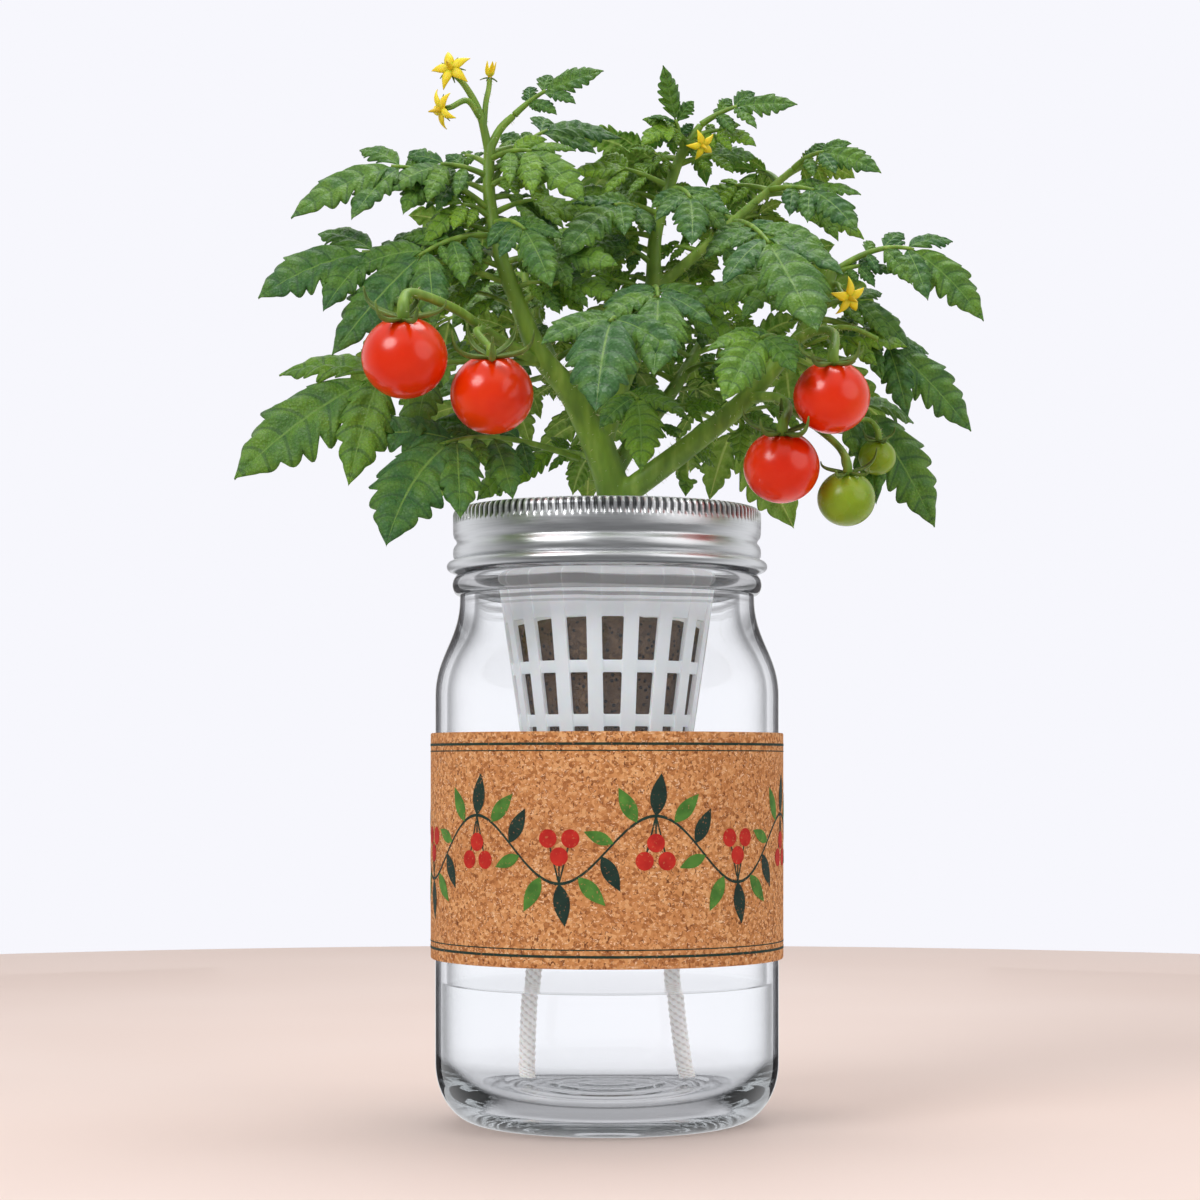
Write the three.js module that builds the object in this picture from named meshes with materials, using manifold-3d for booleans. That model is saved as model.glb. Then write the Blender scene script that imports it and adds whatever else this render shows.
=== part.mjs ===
// A hydroponic grow kit: a wide-mouth glass jar whose screw band clamps a net cup. The cup holds a grow
// plug with a dwarf tomato plant, and two wicks hang from its floor into the jar. A cork sleeve wraps
// the jar. Millimetres, +Z up. The origin is the centre of the jar's base, on the surface it stands on,
// and the front faces -Y.
import * as THREE from "three";
import { mergeVertices } from "three/addons/utils/BufferGeometryUtils.js";
import Module from "manifold-3d";

const wasm = await Module();
wasm.setup();

// Driving dimensions: jar
const JAR_BODY_D = 97;
const JAR_WALL = 3.2;
const JAR_FLOOR = 6;
const JAR_FLOOR_CROWN = 1; // the floor's middle stands this much higher
const BODY_HEIGHT = 120; // base to the start of the shoulder
const SHOULDER_HEIGHT = 27.5;
const HEEL_WIDTH = 12.5;
const HEEL_HEIGHT = 17;
const BASE_RING_WIDTH = 6; // the flat ring that the jar stands on
const PUNT_DEPTH = 2; // hollow inside that ring
const NECK_D = 83.2;
const BEAD_OUT = 2.1; // how far the glass bead under the thread stands out
const BEAD_HEIGHT = 6;
const BEAD_GAP = 0.7; // plain glass below and above the bead
const FINISH_D = 80.4; // the threaded neck without its thread
const FINISH_HEIGHT = 15.9;
const NECK_WALL = 2.7; // glass of the threaded neck
const RIM_ROUND = 0.7;
const JAR_SEGMENTS = 36;

// Driving dimensions: thread
const THREAD_PITCH = 5;
const THREAD_OUT = 1.4; // the glass thread stands this far out of the neck
const THREAD_HEIGHT = 1.8;
const JAR_THREAD_TURNS = 1.5;
const BAND_THREAD_TURNS = 0.75;
const BAND_THREAD_HEIGHT = 1.2;
const THREAD_BITE = 0.9; // radial overlap of the two threads
const THREAD_SLACK = 0.4; // axial gap between them
const THREAD_TOP_LAND = 2.6; // rim to the upper end of the glass thread
const THREAD_STEPS = 24; // facets in a turn

// Driving dimensions: screw band
const BAND_WALL = 0.5;
const BAND_THREAD_GAP = 0.3; // glass thread's crest to the band's groove
const BAND_BEAD_GAP = 0.6; // glass bead to the band's lower edge
const BAND_CORNER = 2;
const BAND_LIP = 5; // how far the top lip reaches in
const GROOVE_DEPTH = 1.1;
const GROOVE_DROP = 9.6; // top of the band to the middle of its groove
const GROOVE_HEIGHT = 3.2;
const CURL_OUT = 1.8; // how far the rolled lower edge stands out
const CURL_HEIGHT = 3.2;
const BAND_SEGMENTS = 36;

// Driving dimensions: cork sleeve
const SLEEVE_THICKNESS = 1;
const SLEEVE_BOTTOM = 46.3;
const SLEEVE_HEIGHT = 63.2;
const SLEEVE_SEAM = 0.8; // gap where its ends meet at the back
const SLEEVE_GAP = 0.3;
const SLEEVE_SEGMENTS = 36;

// Driving dimensions: net cup
const CUP_MOUTH_GAP = 4; // cup's wall to the jar's mouth, at the rim
const CUP_FLOOR_D = 45.2;
const CUP_WALL = 1.4;
const CUP_DEPTH = 74.4; // rim of the jar to the underside of the cup
const CUP_FLOOR = 1.5;
const FLANGE_GAP = 0.5; // flange's edge to the band's rounded corner
const FLANGE_THICKNESS = 1.2;
const COLLAR_HEIGHT = 29.9; // plain wall below the flange
const SLATS = 18;
const SLAT_WIDTH = 4.1;
const SLAT_TURN = THREE.MathUtils.degToRad(-7); // brings a window to the front
const HOOP_HEIGHT = 3.3;
const HOOP_DROPS = [11.8, 26.5]; // collar's edge to the top of each hoop
const FOOT_BAND = 3; // plain wall above the floor
const ROOT_SLOTS = 6;
const ROOT_SLOT_LENGTH = 6;
const ROOT_SLOT_WIDTH = 2;
const ROOT_SLOT_MIDDLE_R = 7;

// Driving dimensions: wicks
const WICK_D = 4.4;
const WICK_HOLE_GAP = 0.4;
const WICK_HOLE_X = 14;
const KNOT_D = 8.6;
const KNOT_HEIGHT = 5.6;
const WICK_SIDES = 10;
const WICK_STEPS = 10;

// Driving dimensions: grow plug and plant
const PLUG_DROP = 30.8; // rim of the jar to the top of the plug
const PLUG_HEIGHT = 34;
const PLUG_CROWN = 1.2;
const PLUG_GAP = 0.35;
const STEM_FOOT_D = 11;
const STEM_FOOT_DEPTH = 14;
const STEM_HOLE_GAP = 0.35;
const BLADE_THICKNESS = 1;
const RACHIS_START_D = 2;
const RACHIS_END_D = 1.2;
const PETAL_THICKNESS = 0.9;

// Clearances
const SEAT_GAP = 0.1; // between flat faces that rest on each other
const GROWTH_GAP = 0.3; // between neighbouring pieces of the plant

// Heights and radii that follow from them
const BODY_R = JAR_BODY_D / 2;
const INNER_R = BODY_R - JAR_WALL;
const NECK_R = NECK_D / 2;
const FINISH_R = FINISH_D / 2;
const MOUTH_D = FINISH_D - 2 * NECK_WALL;
const MOUTH_R = MOUTH_D / 2;
const SHOULDER_TOP = BODY_HEIGHT + SHOULDER_HEIGHT;
const BEAD_BOTTOM = SHOULDER_TOP + BEAD_GAP;
const BEAD_TOP = BEAD_BOTTOM + BEAD_HEIGHT;
const RIM = BEAD_TOP + BEAD_GAP + FINISH_HEIGHT;
const FLANGE_BOTTOM = RIM + SEAT_GAP;
const FLANGE_TOP = FLANGE_BOTTOM + FLANGE_THICKNESS;
const BAND_TOP = FLANGE_TOP + SEAT_GAP + BAND_WALL;
const BAND_HEIGHT = BAND_TOP - BEAD_TOP - BAND_BEAD_GAP;
const BAND_BOTTOM = BAND_TOP - BAND_HEIGHT;
const CUP_BOTTOM = RIM - CUP_DEPTH;
const CUP_FLOOR_TOP = CUP_BOTTOM + CUP_FLOOR;
const CUP_TOP_D = MOUTH_D - 2 * CUP_MOUTH_GAP;
const CUP_SLOPE = (CUP_TOP_D - CUP_FLOOR_D) / 2 / (FLANGE_BOTTOM - CUP_BOTTOM);
const PLUG_TOP = RIM - PLUG_DROP;
const THREAD_R = FINISH_R + THREAD_OUT;
const BAND_D = 2 * (THREAD_R + BAND_THREAD_GAP + GROOVE_DEPTH + BAND_WALL);
const BAND_R = BAND_D / 2;
const FLANGE_R = BAND_R - BAND_CORNER - FLANGE_GAP;

// Outer radius of the net cup's tapered wall at a height.
const cupRadius = (z) => CUP_FLOOR_D / 2 + CUP_SLOPE * (z - CUP_BOTTOM);

// Solids

// A geometry as a closed solid, with its shared vertices merged.
function solidOf(geometry) {
  const bare = geometry.index ? geometry.toNonIndexed() : geometry.clone();
  bare.deleteAttribute("normal");
  bare.deleteAttribute("uv");
  const merged = mergeVertices(bare, 1e-4);
  const corners = merged.index.array;
  const kept = [];
  for (let i = 0; i < corners.length; i += 3) {
    const [a, b, c] = corners.slice(i, i + 3);
    if (a !== b && b !== c && c !== a) kept.push(a, b, c);
  }
  const triVerts = new Uint32Array(kept);
  const vertProperties = merged.attributes.position.array;
  return new wasm.Manifold(new wasm.Mesh({ numProp: 3, vertProperties, triVerts }));
}

// A solid as a geometry for a mesh.
function geometryOf(solid) {
  const mesh = solid.getMesh();
  const positions = new Float32Array(mesh.numVert * 3);
  for (let i = 0; i < mesh.numVert; i++) {
    const start = i * mesh.numProp;
    positions.set(mesh.vertProperties.subarray(start, start + 3), i * 3);
  }
  const geometry = new THREE.BufferGeometry();
  geometry.setAttribute("position", new THREE.BufferAttribute(positions, 3));
  geometry.setIndex(new THREE.BufferAttribute(mesh.triVerts, 1));
  geometry.computeVertexNormals();
  return geometry;
}

const joined = (solids) => solids.reduce((whole, next) => whole.add(next));

// A profile of [radius, height] points turned about an upright axis through a place. The turn, in radians,
// sets where its facets begin.
function turned(profile, segments, { place = [0, 0, 0], turn = 0 } = {}) {
  const points = profile.map(([r, z]) => new THREE.Vector2(r, z));
  const lathe = new THREE.LatheGeometry(points, segments).rotateX(Math.PI / 2).rotateZ(turn);
  return solidOf(lathe.translate(...place));
}

// A closed skin over rings with equally many points, which turn anticlockwise about the way they run.
function lofted(rings) {
  const sides = rings[0].length;
  const last = (rings.length - 1) * sides;
  const index = [];
  for (let i = 0; i < rings.length - 1; i++) {
    for (let j = 0; j < sides; j++) {
      const a = i * sides + j;
      const b = i * sides + ((j + 1) % sides);
      index.push(a, b, b + sides, a, b + sides, a + sides);
    }
  }
  for (let j = 1; j < sides - 1; j++) {
    index.push(0, j + 1, j, last, last + j, last + j + 1);
  }
  const geometry = new THREE.BufferGeometry().setFromPoints(rings.flat());
  return solidOf(geometry.setIndex(index));
}

// A round tube along a smooth line through the points, tapering evenly from one radius to the other.
function taperedTube(points, startRadius, endRadius, sides, steps) {
  const line = new THREE.CatmullRomCurve3(points);
  const frames = line.computeFrenetFrames(steps, false);
  const rings = line.getSpacedPoints(steps).map((point, i) => {
    const radius = startRadius + ((endRadius - startRadius) * i) / steps;
    return Array.from({ length: sides }, (_, j) => {
      const angle = (2 * Math.PI * j) / sides;
      return point
        .clone()
        .addScaledVector(frames.normals[i], radius * Math.cos(angle))
        .addScaledVector(frames.binormals[i], radius * Math.sin(angle));
    });
  });
  return lofted(rings);
}

// A ridge that climbs a right-hand helix, from its inner to its outer radius, narrower at its crest.
function helicalRidge({ innerR, outerR, rootHeight, crestHeight, startZ, turns, startTurn }) {
  const steps = Math.round(turns * THREAD_STEPS);
  const section = [
    [outerR, outerR < innerR ? -crestHeight / 2 : crestHeight / 2],
    [outerR, outerR < innerR ? crestHeight / 2 : -crestHeight / 2],
    [innerR, outerR < innerR ? rootHeight / 2 : -rootHeight / 2],
    [innerR, outerR < innerR ? -rootHeight / 2 : rootHeight / 2],
  ];
  const rings = Array.from({ length: steps + 1 }, (_, i) => {
    const turn = (turns * i) / steps;
    const angle = 2 * Math.PI * (startTurn + turn);
    const rise = startZ + THREAD_PITCH * turn;
    return section.map(([r, z]) => new THREE.Vector3(r * Math.cos(angle), r * Math.sin(angle), rise + z));
  });
  return lofted(rings);
}

// A radial block that cuts through a wall at an angle, with its own half width at the top and the bottom.
function radialBlock({ angle, innerR, outerR, bottom, top, bottomHalf, topHalf }) {
  const corners = [
    [topHalf, top],
    [-topHalf, top],
    [-bottomHalf, bottom],
    [bottomHalf, bottom],
  ];
  const up = new THREE.Vector3(0, 0, 1);
  const ringAt = (r) => corners.map(([side, z]) => new THREE.Vector3(r, side, z).applyAxisAngle(up, angle));
  return lofted([ringAt(innerR), ringAt(outerR)]);
}

const vector = ([x, y, z]) => new THREE.Vector3(x, y, z);

// Points along an ellipse's arc as [radius, height], angles in quarter turns.
function ellipseArc(centre, halfSizes, from, to, steps) {
  return Array.from({ length: steps + 1 }, (_, i) => {
    const angle = ((from + ((to - from) * i) / steps) * Math.PI) / 2;
    return [centre[0] + halfSizes[0] * Math.cos(angle), centre[1] + halfSizes[1] * Math.sin(angle)];
  });
}

// An S-shaped shoulder from one [radius, height] to another, upright at both ends.
function shoulder([r0, z0], [r1, z1], steps) {
  const reach = 0.42 * (z1 - z0);
  const curve = new THREE.CubicBezierCurve(
    new THREE.Vector2(r0, z0),
    new THREE.Vector2(r0, z0 + reach),
    new THREE.Vector2(r1, z1 - reach),
    new THREE.Vector2(r1, z1),
  );
  return curve.getPoints(steps).map((p) => [p.x, p.y]);
}

// Glass jar: rounded heel, straight body, drawn-in shoulder, bead and threaded neck
function glassJar() {
  const ringR = BODY_R - HEEL_WIDTH;
  const hollowR = ringR - BASE_RING_WIDTH;
  const innerHeel = [HEEL_WIDTH, HEEL_HEIGHT - JAR_WALL];
  const outside = [
    [0, PUNT_DEPTH],
    [hollowR / 2, PUNT_DEPTH],
    [hollowR, 0],
    ...ellipseArc([ringR, HEEL_HEIGHT], [HEEL_WIDTH, HEEL_HEIGHT], -1, 0, 5),
    ...shoulder([BODY_R, BODY_HEIGHT], [NECK_R, SHOULDER_TOP], 6),
    ...ellipseArc([NECK_R, (BEAD_BOTTOM + BEAD_TOP) / 2], [BEAD_OUT, BEAD_HEIGHT / 2], -1, 1, 4),
    [FINISH_R, BEAD_TOP + BEAD_GAP],
    [FINISH_R, RIM - RIM_ROUND],
    [FINISH_R - RIM_ROUND, RIM],
  ];
  const inside = [
    [MOUTH_R + RIM_ROUND, RIM],
    [MOUTH_R, RIM - RIM_ROUND],
    ...shoulder([INNER_R, BODY_HEIGHT], [MOUTH_R, SHOULDER_TOP], 4).reverse(),
    ...ellipseArc([INNER_R - innerHeel[0], JAR_FLOOR + innerHeel[1]], innerHeel, 0, -1, 3),
    [0, JAR_FLOOR + JAR_FLOOR_CROWN],
  ];
  const thread = helicalRidge({
    innerR: (FINISH_R + MOUTH_R) / 2,
    outerR: THREAD_R,
    rootHeight: THREAD_HEIGHT * 1.4,
    crestHeight: THREAD_HEIGHT * 0.6,
    startZ: RIM - THREAD_TOP_LAND - THREAD_PITCH * JAR_THREAD_TURNS,
    turns: JAR_THREAD_TURNS,
    startTurn: 0,
  });
  return turned([...outside, ...inside], JAR_SEGMENTS).add(thread);
}

// Screw band: sheet metal with a lip, a groove, a rolled lower edge and a thread inside
function screwBand() {
  const innerR = BAND_R - BAND_WALL;
  const lipR = BAND_R - BAND_LIP;
  const grooveZ = BAND_TOP - GROOVE_DROP;
  const curlMiddle = BAND_BOTTOM + CURL_HEIGHT / 2;
  const outside = [
    [lipR, BAND_TOP],
    ...ellipseArc([BAND_R - BAND_CORNER, BAND_TOP - BAND_CORNER], [BAND_CORNER, BAND_CORNER], 1, 0, 3),
    [BAND_R, grooveZ + GROOVE_HEIGHT / 2],
    [BAND_R - GROOVE_DEPTH, grooveZ],
    [BAND_R, grooveZ - GROOVE_HEIGHT / 2],
    ...ellipseArc([BAND_R, curlMiddle], [CURL_OUT, CURL_HEIGHT / 2], 1, -1, 4),
  ];
  const inside = [
    [innerR, BAND_BOTTOM],
    [innerR, grooveZ - GROOVE_HEIGHT / 2],
    [innerR - GROOVE_DEPTH, grooveZ],
    [innerR, grooveZ + GROOVE_HEIGHT / 2],
    [innerR, BAND_TOP - BAND_CORNER],
    [BAND_R - BAND_CORNER, BAND_TOP - BAND_WALL],
    [lipR, BAND_TOP - BAND_WALL],
    [lipR, BAND_TOP],
  ];
  const jarThreadStart = RIM - THREAD_TOP_LAND - THREAD_PITCH * JAR_THREAD_TURNS;
  const below = (THREAD_HEIGHT * 1.4) / 2 + BAND_THREAD_HEIGHT / 2 + THREAD_SLACK;
  const thread = helicalRidge({
    innerR: innerR + BAND_WALL / 2,
    outerR: THREAD_R - THREAD_BITE,
    rootHeight: BAND_THREAD_HEIGHT,
    crestHeight: BAND_THREAD_HEIGHT * 0.6,
    startZ: jarThreadStart - below,
    turns: BAND_THREAD_TURNS,
    startTurn: 0,
  });
  return turned([...outside, ...inside].reverse(), BAND_SEGMENTS).add(thread);
}

// Cork sleeve: one strip wrapped round the body, its ends meeting at the back
function corkSleeve() {
  const innerR = BODY_R + SLEEVE_GAP;
  const outerR = innerR + SLEEVE_THICKNESS;
  const half = SLEEVE_SEAM / 2 / innerR;
  const from = Math.PI / 2 + half;
  const to = Math.PI / 2 - half + 2 * Math.PI;
  const arc = (r, a, b) =>
    Array.from({ length: SLEEVE_SEGMENTS + 1 }, (_, i) => {
      const angle = a + ((b - a) * i) / SLEEVE_SEGMENTS;
      return new THREE.Vector2(r * Math.cos(angle), r * Math.sin(angle));
    });
  const outline = new THREE.Shape([...arc(outerR, from, to), ...arc(innerR, to, from)]);
  const wrap = new THREE.ExtrudeGeometry(outline, { depth: SLEEVE_HEIGHT, bevelEnabled: false });
  return solidOf(wrap.translate(0, 0, SLEEVE_BOTTOM));
}

// Net cup: flange, plain collar, slats and hoops round a tapered basket, and a floor with holes
function netCup() {
  const innerShift = CUP_WALL * Math.hypot(1, CUP_SLOPE);
  const shell = turned(
    [
      [0, CUP_BOTTOM],
      [cupRadius(CUP_BOTTOM), CUP_BOTTOM],
      [cupRadius(FLANGE_BOTTOM), FLANGE_BOTTOM],
      [FLANGE_R, FLANGE_BOTTOM],
      [FLANGE_R, FLANGE_TOP],
      [cupRadius(FLANGE_TOP) - innerShift, FLANGE_TOP],
      [cupRadius(CUP_FLOOR_TOP) - innerShift, CUP_FLOOR_TOP],
      [0, CUP_FLOOR_TOP],
    ],
    SLATS,
    { turn: SLAT_TURN },
  );
  const windowTop = FLANGE_BOTTOM - COLLAR_HEIGHT;
  const windowBottom = CUP_FLOOR_TOP + FOOT_BAND;
  const hoopTops = HOOP_DROPS.map((drop) => windowTop - drop);
  const rowTops = [windowTop, ...hoopTops.map((top) => top - HOOP_HEIGHT)];
  const rowBottoms = [...hoopTops, windowBottom];
  const halfWindow = (z) => (2 * cupRadius(z) * Math.sin(Math.PI / SLATS) - SLAT_WIDTH) / 2;
  const cuts = [];
  for (const [row, top] of rowTops.entries()) {
    const bottom = rowBottoms[row];
    for (let slat = 0; slat < SLATS; slat++) {
      cuts.push(
        radialBlock({
          angle: (2 * Math.PI * slat) / SLATS + SLAT_TURN,
          innerR: cupRadius(bottom) - 4 * CUP_WALL,
          outerR: cupRadius(top) + CUP_WALL,
          bottom,
          top,
          bottomHalf: halfWindow(bottom),
          topHalf: halfWindow(top),
        }),
      );
    }
  }
  for (let slot = 0; slot < ROOT_SLOTS; slot++) {
    cuts.push(
      radialBlock({
        angle: (2 * Math.PI * (slot + 0.5)) / ROOT_SLOTS,
        innerR: ROOT_SLOT_MIDDLE_R - ROOT_SLOT_LENGTH / 2,
        outerR: ROOT_SLOT_MIDDLE_R + ROOT_SLOT_LENGTH / 2,
        bottom: CUP_BOTTOM - CUP_FLOOR,
        top: CUP_FLOOR_TOP + CUP_FLOOR,
        bottomHalf: ROOT_SLOT_WIDTH / 2,
        topHalf: ROOT_SLOT_WIDTH / 2,
      }),
    );
  }
  const holeR = WICK_D / 2 + WICK_HOLE_GAP;
  for (const side of [-1, 1]) {
    const hole = new THREE.CylinderGeometry(holeR, holeR, 4 * CUP_FLOOR, WICK_SIDES).rotateX(Math.PI / 2);
    cuts.push(solidOf(hole.translate(side * WICK_HOLE_X, 0, CUP_BOTTOM + CUP_FLOOR / 2)));
  }
  return shell.subtract(joined(cuts));
}

// Grow plug: a tapered block of pressed peat and coir that wedges in the cup, with a hole for the stem
function growPlug() {
  const bottom = PLUG_TOP - PLUG_HEIGHT;
  const seat = CUP_WALL * Math.hypot(1, CUP_SLOPE) + PLUG_GAP;
  const holeR = STEM_FOOT_D / 2 + STEM_HOLE_GAP;
  const topR = cupRadius(PLUG_TOP) - seat;
  return turned(
    [
      [0, bottom],
      [cupRadius(bottom) - seat, bottom],
      [topR, PLUG_TOP],
      [(topR + holeR) / 2, PLUG_TOP + PLUG_CROWN],
      [holeR, PLUG_TOP],
      [holeR, PLUG_TOP - STEM_FOOT_DEPTH - STEM_HOLE_GAP],
      [0, PLUG_TOP - STEM_FOOT_DEPTH - STEM_HOLE_GAP],
    ],
    SLATS,
    { turn: SLAT_TURN },
  );
}

// Wicks: each hangs from a hole in the cup's floor, with its points chosen by hand from the hole downwards
const WICK_ROUTES = {
  left: [
    [-14, 0, 97.6],
    [-14, 0, 90],
    [-15.8, -0.6, 76],
    [-18.4, -1.4, 60],
    [-20.3, -1.8, 46],
    [-21.3, -1.6, 34],
    [-21.9, -0.8, 20],
    [-22, 0, 9],
  ],
  right: [
    [14, 0, 97.6],
    [14, 0, 90],
    [15.2, -0.6, 76],
    [16.8, -1.4, 60],
    [18, -1.8, 46],
    [18.9, -1.6, 34],
    [20.6, -1, 20],
    [22.4, -0.4, 9],
  ],
};

function wick(route) {
  const section = new THREE.Shape(
    Array.from({ length: WICK_SIDES }, (_, i) => {
      const angle = (2 * Math.PI * i) / WICK_SIDES;
      return new THREE.Vector2(Math.cos(angle), Math.sin(angle)).multiplyScalar(WICK_D / 2);
    }),
  );
  const extrudePath = new THREE.CatmullRomCurve3(route.map(vector));
  return solidOf(new THREE.ExtrudeGeometry(section, { steps: WICK_STEPS, extrudePath }));
}

// Knot that stops a wick from slipping through its hole, resting on the cup's floor
function wickKnot(side) {
  const bottom = CUP_FLOOR_TOP + SEAT_GAP;
  const middle = bottom + KNOT_HEIGHT / 2;
  const flatR = WICK_D / 2 + WICK_HOLE_GAP + 0.6;
  const profile = [
    [0, bottom],
    [flatR, bottom],
    [KNOT_D / 2, middle],
    [flatR, bottom + KNOT_HEIGHT],
    [0, bottom + KNOT_HEIGHT],
  ];
  return turned(profile, WICK_SIDES, { place: [side * WICK_HOLE_X, 0, 0] });
}

// The plant stands in its own frame: the origin is the middle of the plug's top.

// Flowers, as [place of the back of the petals, way it faces, radius]
const FLOWERS = {
  flower_top: [[-43.5, -12, 154.5], [-0.25, -1, 0.25], 6],
  flower_side: [[-46, -15, 142.5], [-1, -0.6, -0.35], 5.8],
  flower_bud: [[-33, -4, 154], [0.1, -0.2, 1], 4],
  flower_upper_right: [[27, 3, 136.5], [0.4, -0.8, -0.5], 4.5],
  flower_right: [[66, -28, 88], [0.5, -0.8, -0.45], 5.6],
};
const FLOWER_APPROACH = 3; // straight end of a flower's stalk

// The straight end of a stalk that meets the back of a flower.
function flowerEnd(name) {
  const [place, facing] = FLOWERS[name];
  const way = vector(facing).normalize();
  return [FLOWER_APPROACH, GROWTH_GAP].map((back) => vector(place).addScaledVector(way, -back).toArray());
}

// Stem and its branches, as [points, start radius, end radius]
const STEM_FOOT_R = STEM_FOOT_D / 2;
const MAIN_STEM = [[0, 0, -STEM_FOOT_DEPTH], [0, 0, 10], [2, 0, 36], [-3, 0, 53]];
const LEFT_BRANCH = [
  [-2, 0, 49],
  [-10, -3, 65],
  [-19, -7, 76],
  [-25, -9, 90],
  [-30, -9, 104],
  [-33, -7, 120],
  [-33, -6, 135],
];
const MIDDLE_BRANCH = [
  [-2, 1, 51],
  [3, 4, 67],
  [9, 8, 81],
  [13, 11, 97],
  [14, 13, 113],
  [18, 13, 127],
  [22, 12, 137],
  [27, 10, 144],
];
const RIGHT_BRANCH = [
  [2, 0, 35],
  [12, -3, 42],
  [23, -6, 50],
  [37, -11, 61],
  [49, -15, 74],
  [57, -18, 84],
  [63, -18, 99],
];
const BRANCHES = [
  [MAIN_STEM, STEM_FOOT_R, 4.6],
  [LEFT_BRANCH, 4.2, 1.6],
  [MIDDLE_BRANCH, 3.6, 1.2],
  [RIGHT_BRANCH, 3.6, 1.6],
  [[[12, 11, 95], [24, 14, 106], [35, 15, 116], [47, 18, 127], [54, 18, 133]], 1.9, 1.1],
  [[[-2, 1, 50], [-8, 12, 62], [-14, 22, 74], [-22, 38, 96], [-26, 46, 116]], 2.8, 1.2],
  [[[1, 1, 42], [8, 12, 54], [16, 22, 65], [28, 40, 86], [36, 50, 106]], 2.8, 1.2],
  [[[-33, -6, 133], [-30, -6, 139], [-26, -6, 143]], 1.4, 1.1],
  [[[20, 13, 132], [24, 9, 138], ...flowerEnd("flower_upper_right")], 1, 0.7],
  [[[59, -18, 90], [63, -20, 93], ...flowerEnd("flower_right")], 1, 0.8],
];
const STEM_SIDES = 6;

function plantStem(extra) {
  const tubes = BRANCHES.map(([points, start, end]) =>
    taperedTube(points.map(vector), start + extra, end + extra, STEM_SIDES, points.length + 1),
  );
  return joined(tubes);
}

// Tomatoes, as [place of the middle, radius]
const TOMATOES = {
  tomato_left_outer: [[-54, -46, 69], 11.5],
  tomato_left_inner: [[-31, -40, 60], 11.2],
  tomato_right_upper: [[60, -42, 59], 10.3],
  tomato_right_lower: [[47, -36, 41], 10.3],
  tomato_green: [[65, -30, 33], 7.9],
  tomato_green_small: [[75, -14, 46], 5.2],
};
const FRUIT_FLATNESS = 0.95; // height over width
const FRUIT_DIMPLE = 0.08; // share of the radius that the stalk's dimple sinks
const FRUIT_SEGMENTS = 12;

function tomato([place, radius], extra) {
  const r = radius + extra;
  const height = r * FRUIT_FLATNESS;
  const skin = ellipseArc([0, 0], [r, height], -1, 0.8, 7);
  const dimple = [0, height * (1 - FRUIT_DIMPLE)];
  return turned([...skin, dimple], FRUIT_SEGMENTS, { place });
}

// Height of the stalk's end above a tomato's middle, in its dimple.
const stalkFoot = (radius) => radius * FRUIT_FLATNESS * (1 - FRUIT_DIMPLE) + GROWTH_GAP;

// Trusses: stalks as [points, start radius, end radius, fruit], with a crown of sepals on every fruit
const TRUSSES = {
  truss_left: [
    [[[-20, -7, 74], [-30, -18, 78], [-42, -36, 84], [-53, -46, 86]], 2, 1.3, "tomato_left_outer"],
    [[[-34, -24, 80], [-35, -36, 77], [-32, -40, 73]], 1.3, 1.1, "tomato_left_inner"],
  ],
  truss_right_upper: [
    [[[52, -16, 78], [57, -28, 79], [61, -40, 76]], 1.7, 1.2, "tomato_right_upper"],
    [[[56, -26, 79], [66, -27, 80], [74, -26, 77]], 1.1, 0.7, null],
  ],
  truss_right_lower: [
    [[[40, -12, 63], [47, -25, 61], [49, -34, 57]], 1.7, 1.2, "tomato_right_lower"],
    [[[45, -21, 62], [54, -27, 55], [63, -30, 47]], 1.2, 1, "tomato_green"],
    [[[56, -28, 53], [66, -22, 55], [73, -15, 56]], 0.8, 0.7, "tomato_green_small"],
  ],
};
const SEPALS = 5;
const SEPAL_SHARE = 0.8; // sepal length over fruit radius
const SEPAL_WAIST = 0.2; // notch radius over sepal length
const SEPAL_THICKNESS = 0.8;

// A flat star with its middle at the origin.
function star(points, radius, waist, thickness) {
  const outline = new THREE.Shape(
    Array.from({ length: 2 * points }, (_, i) => {
      const angle = (Math.PI * i) / points;
      const reach = i % 2 ? radius * waist : radius;
      return new THREE.Vector2(Math.cos(angle), Math.sin(angle)).multiplyScalar(reach);
    }),
  );
  return new THREE.ExtrudeGeometry(outline, { depth: thickness, bevelEnabled: false });
}

function truss(stalks, extra) {
  const pieces = stalks.flatMap(([points, start, end, fruit]) => {
    const line = points.map(vector);
    if (!fruit) return [taperedTube(line, start + extra, end + extra, 6, 4)];
    const [[x, y, z], radius] = TOMATOES[fruit];
    const foot = new THREE.Vector3(x, y, z + stalkFoot(radius));
    const stalk = taperedTube([...line, foot], start + extra, end + extra, 6, 7);
    const calyx = star(SEPALS, SEPAL_SHARE * radius, SEPAL_WAIST, SEPAL_THICKNESS);
    return [stalk, solidOf(calyx.translate(foot.x, foot.y, foot.z + SEPAL_THICKNESS / 2))];
  });
  return joined(pieces);
}

// Flower stalks at the top of the left branch
const FLOWER_STALKS = [
  [[[-33, -6, 136], [-36, -7, 144], [-40, -8, 151], ...flowerEnd("flower_top")], 1.4, 0.9],
  [[[-36, -7, 143], [-39, -10, 146], ...flowerEnd("flower_side")], 1, 0.9],
  [[[-35, -7, 141], [-34, -5, 147], ...flowerEnd("flower_bud")], 1, 0.9],
];
const PETALS = 5;
const PETAL_WAIST = 0.36; // notch radius over petal radius
const ANTHER_TIP_R = 0.3;
const ANTHER_WIDTH = 0.22; // the anther cone's foot radius over petal radius
const ANTHER_LENGTH = 0.5; // its length over petal radius

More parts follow.
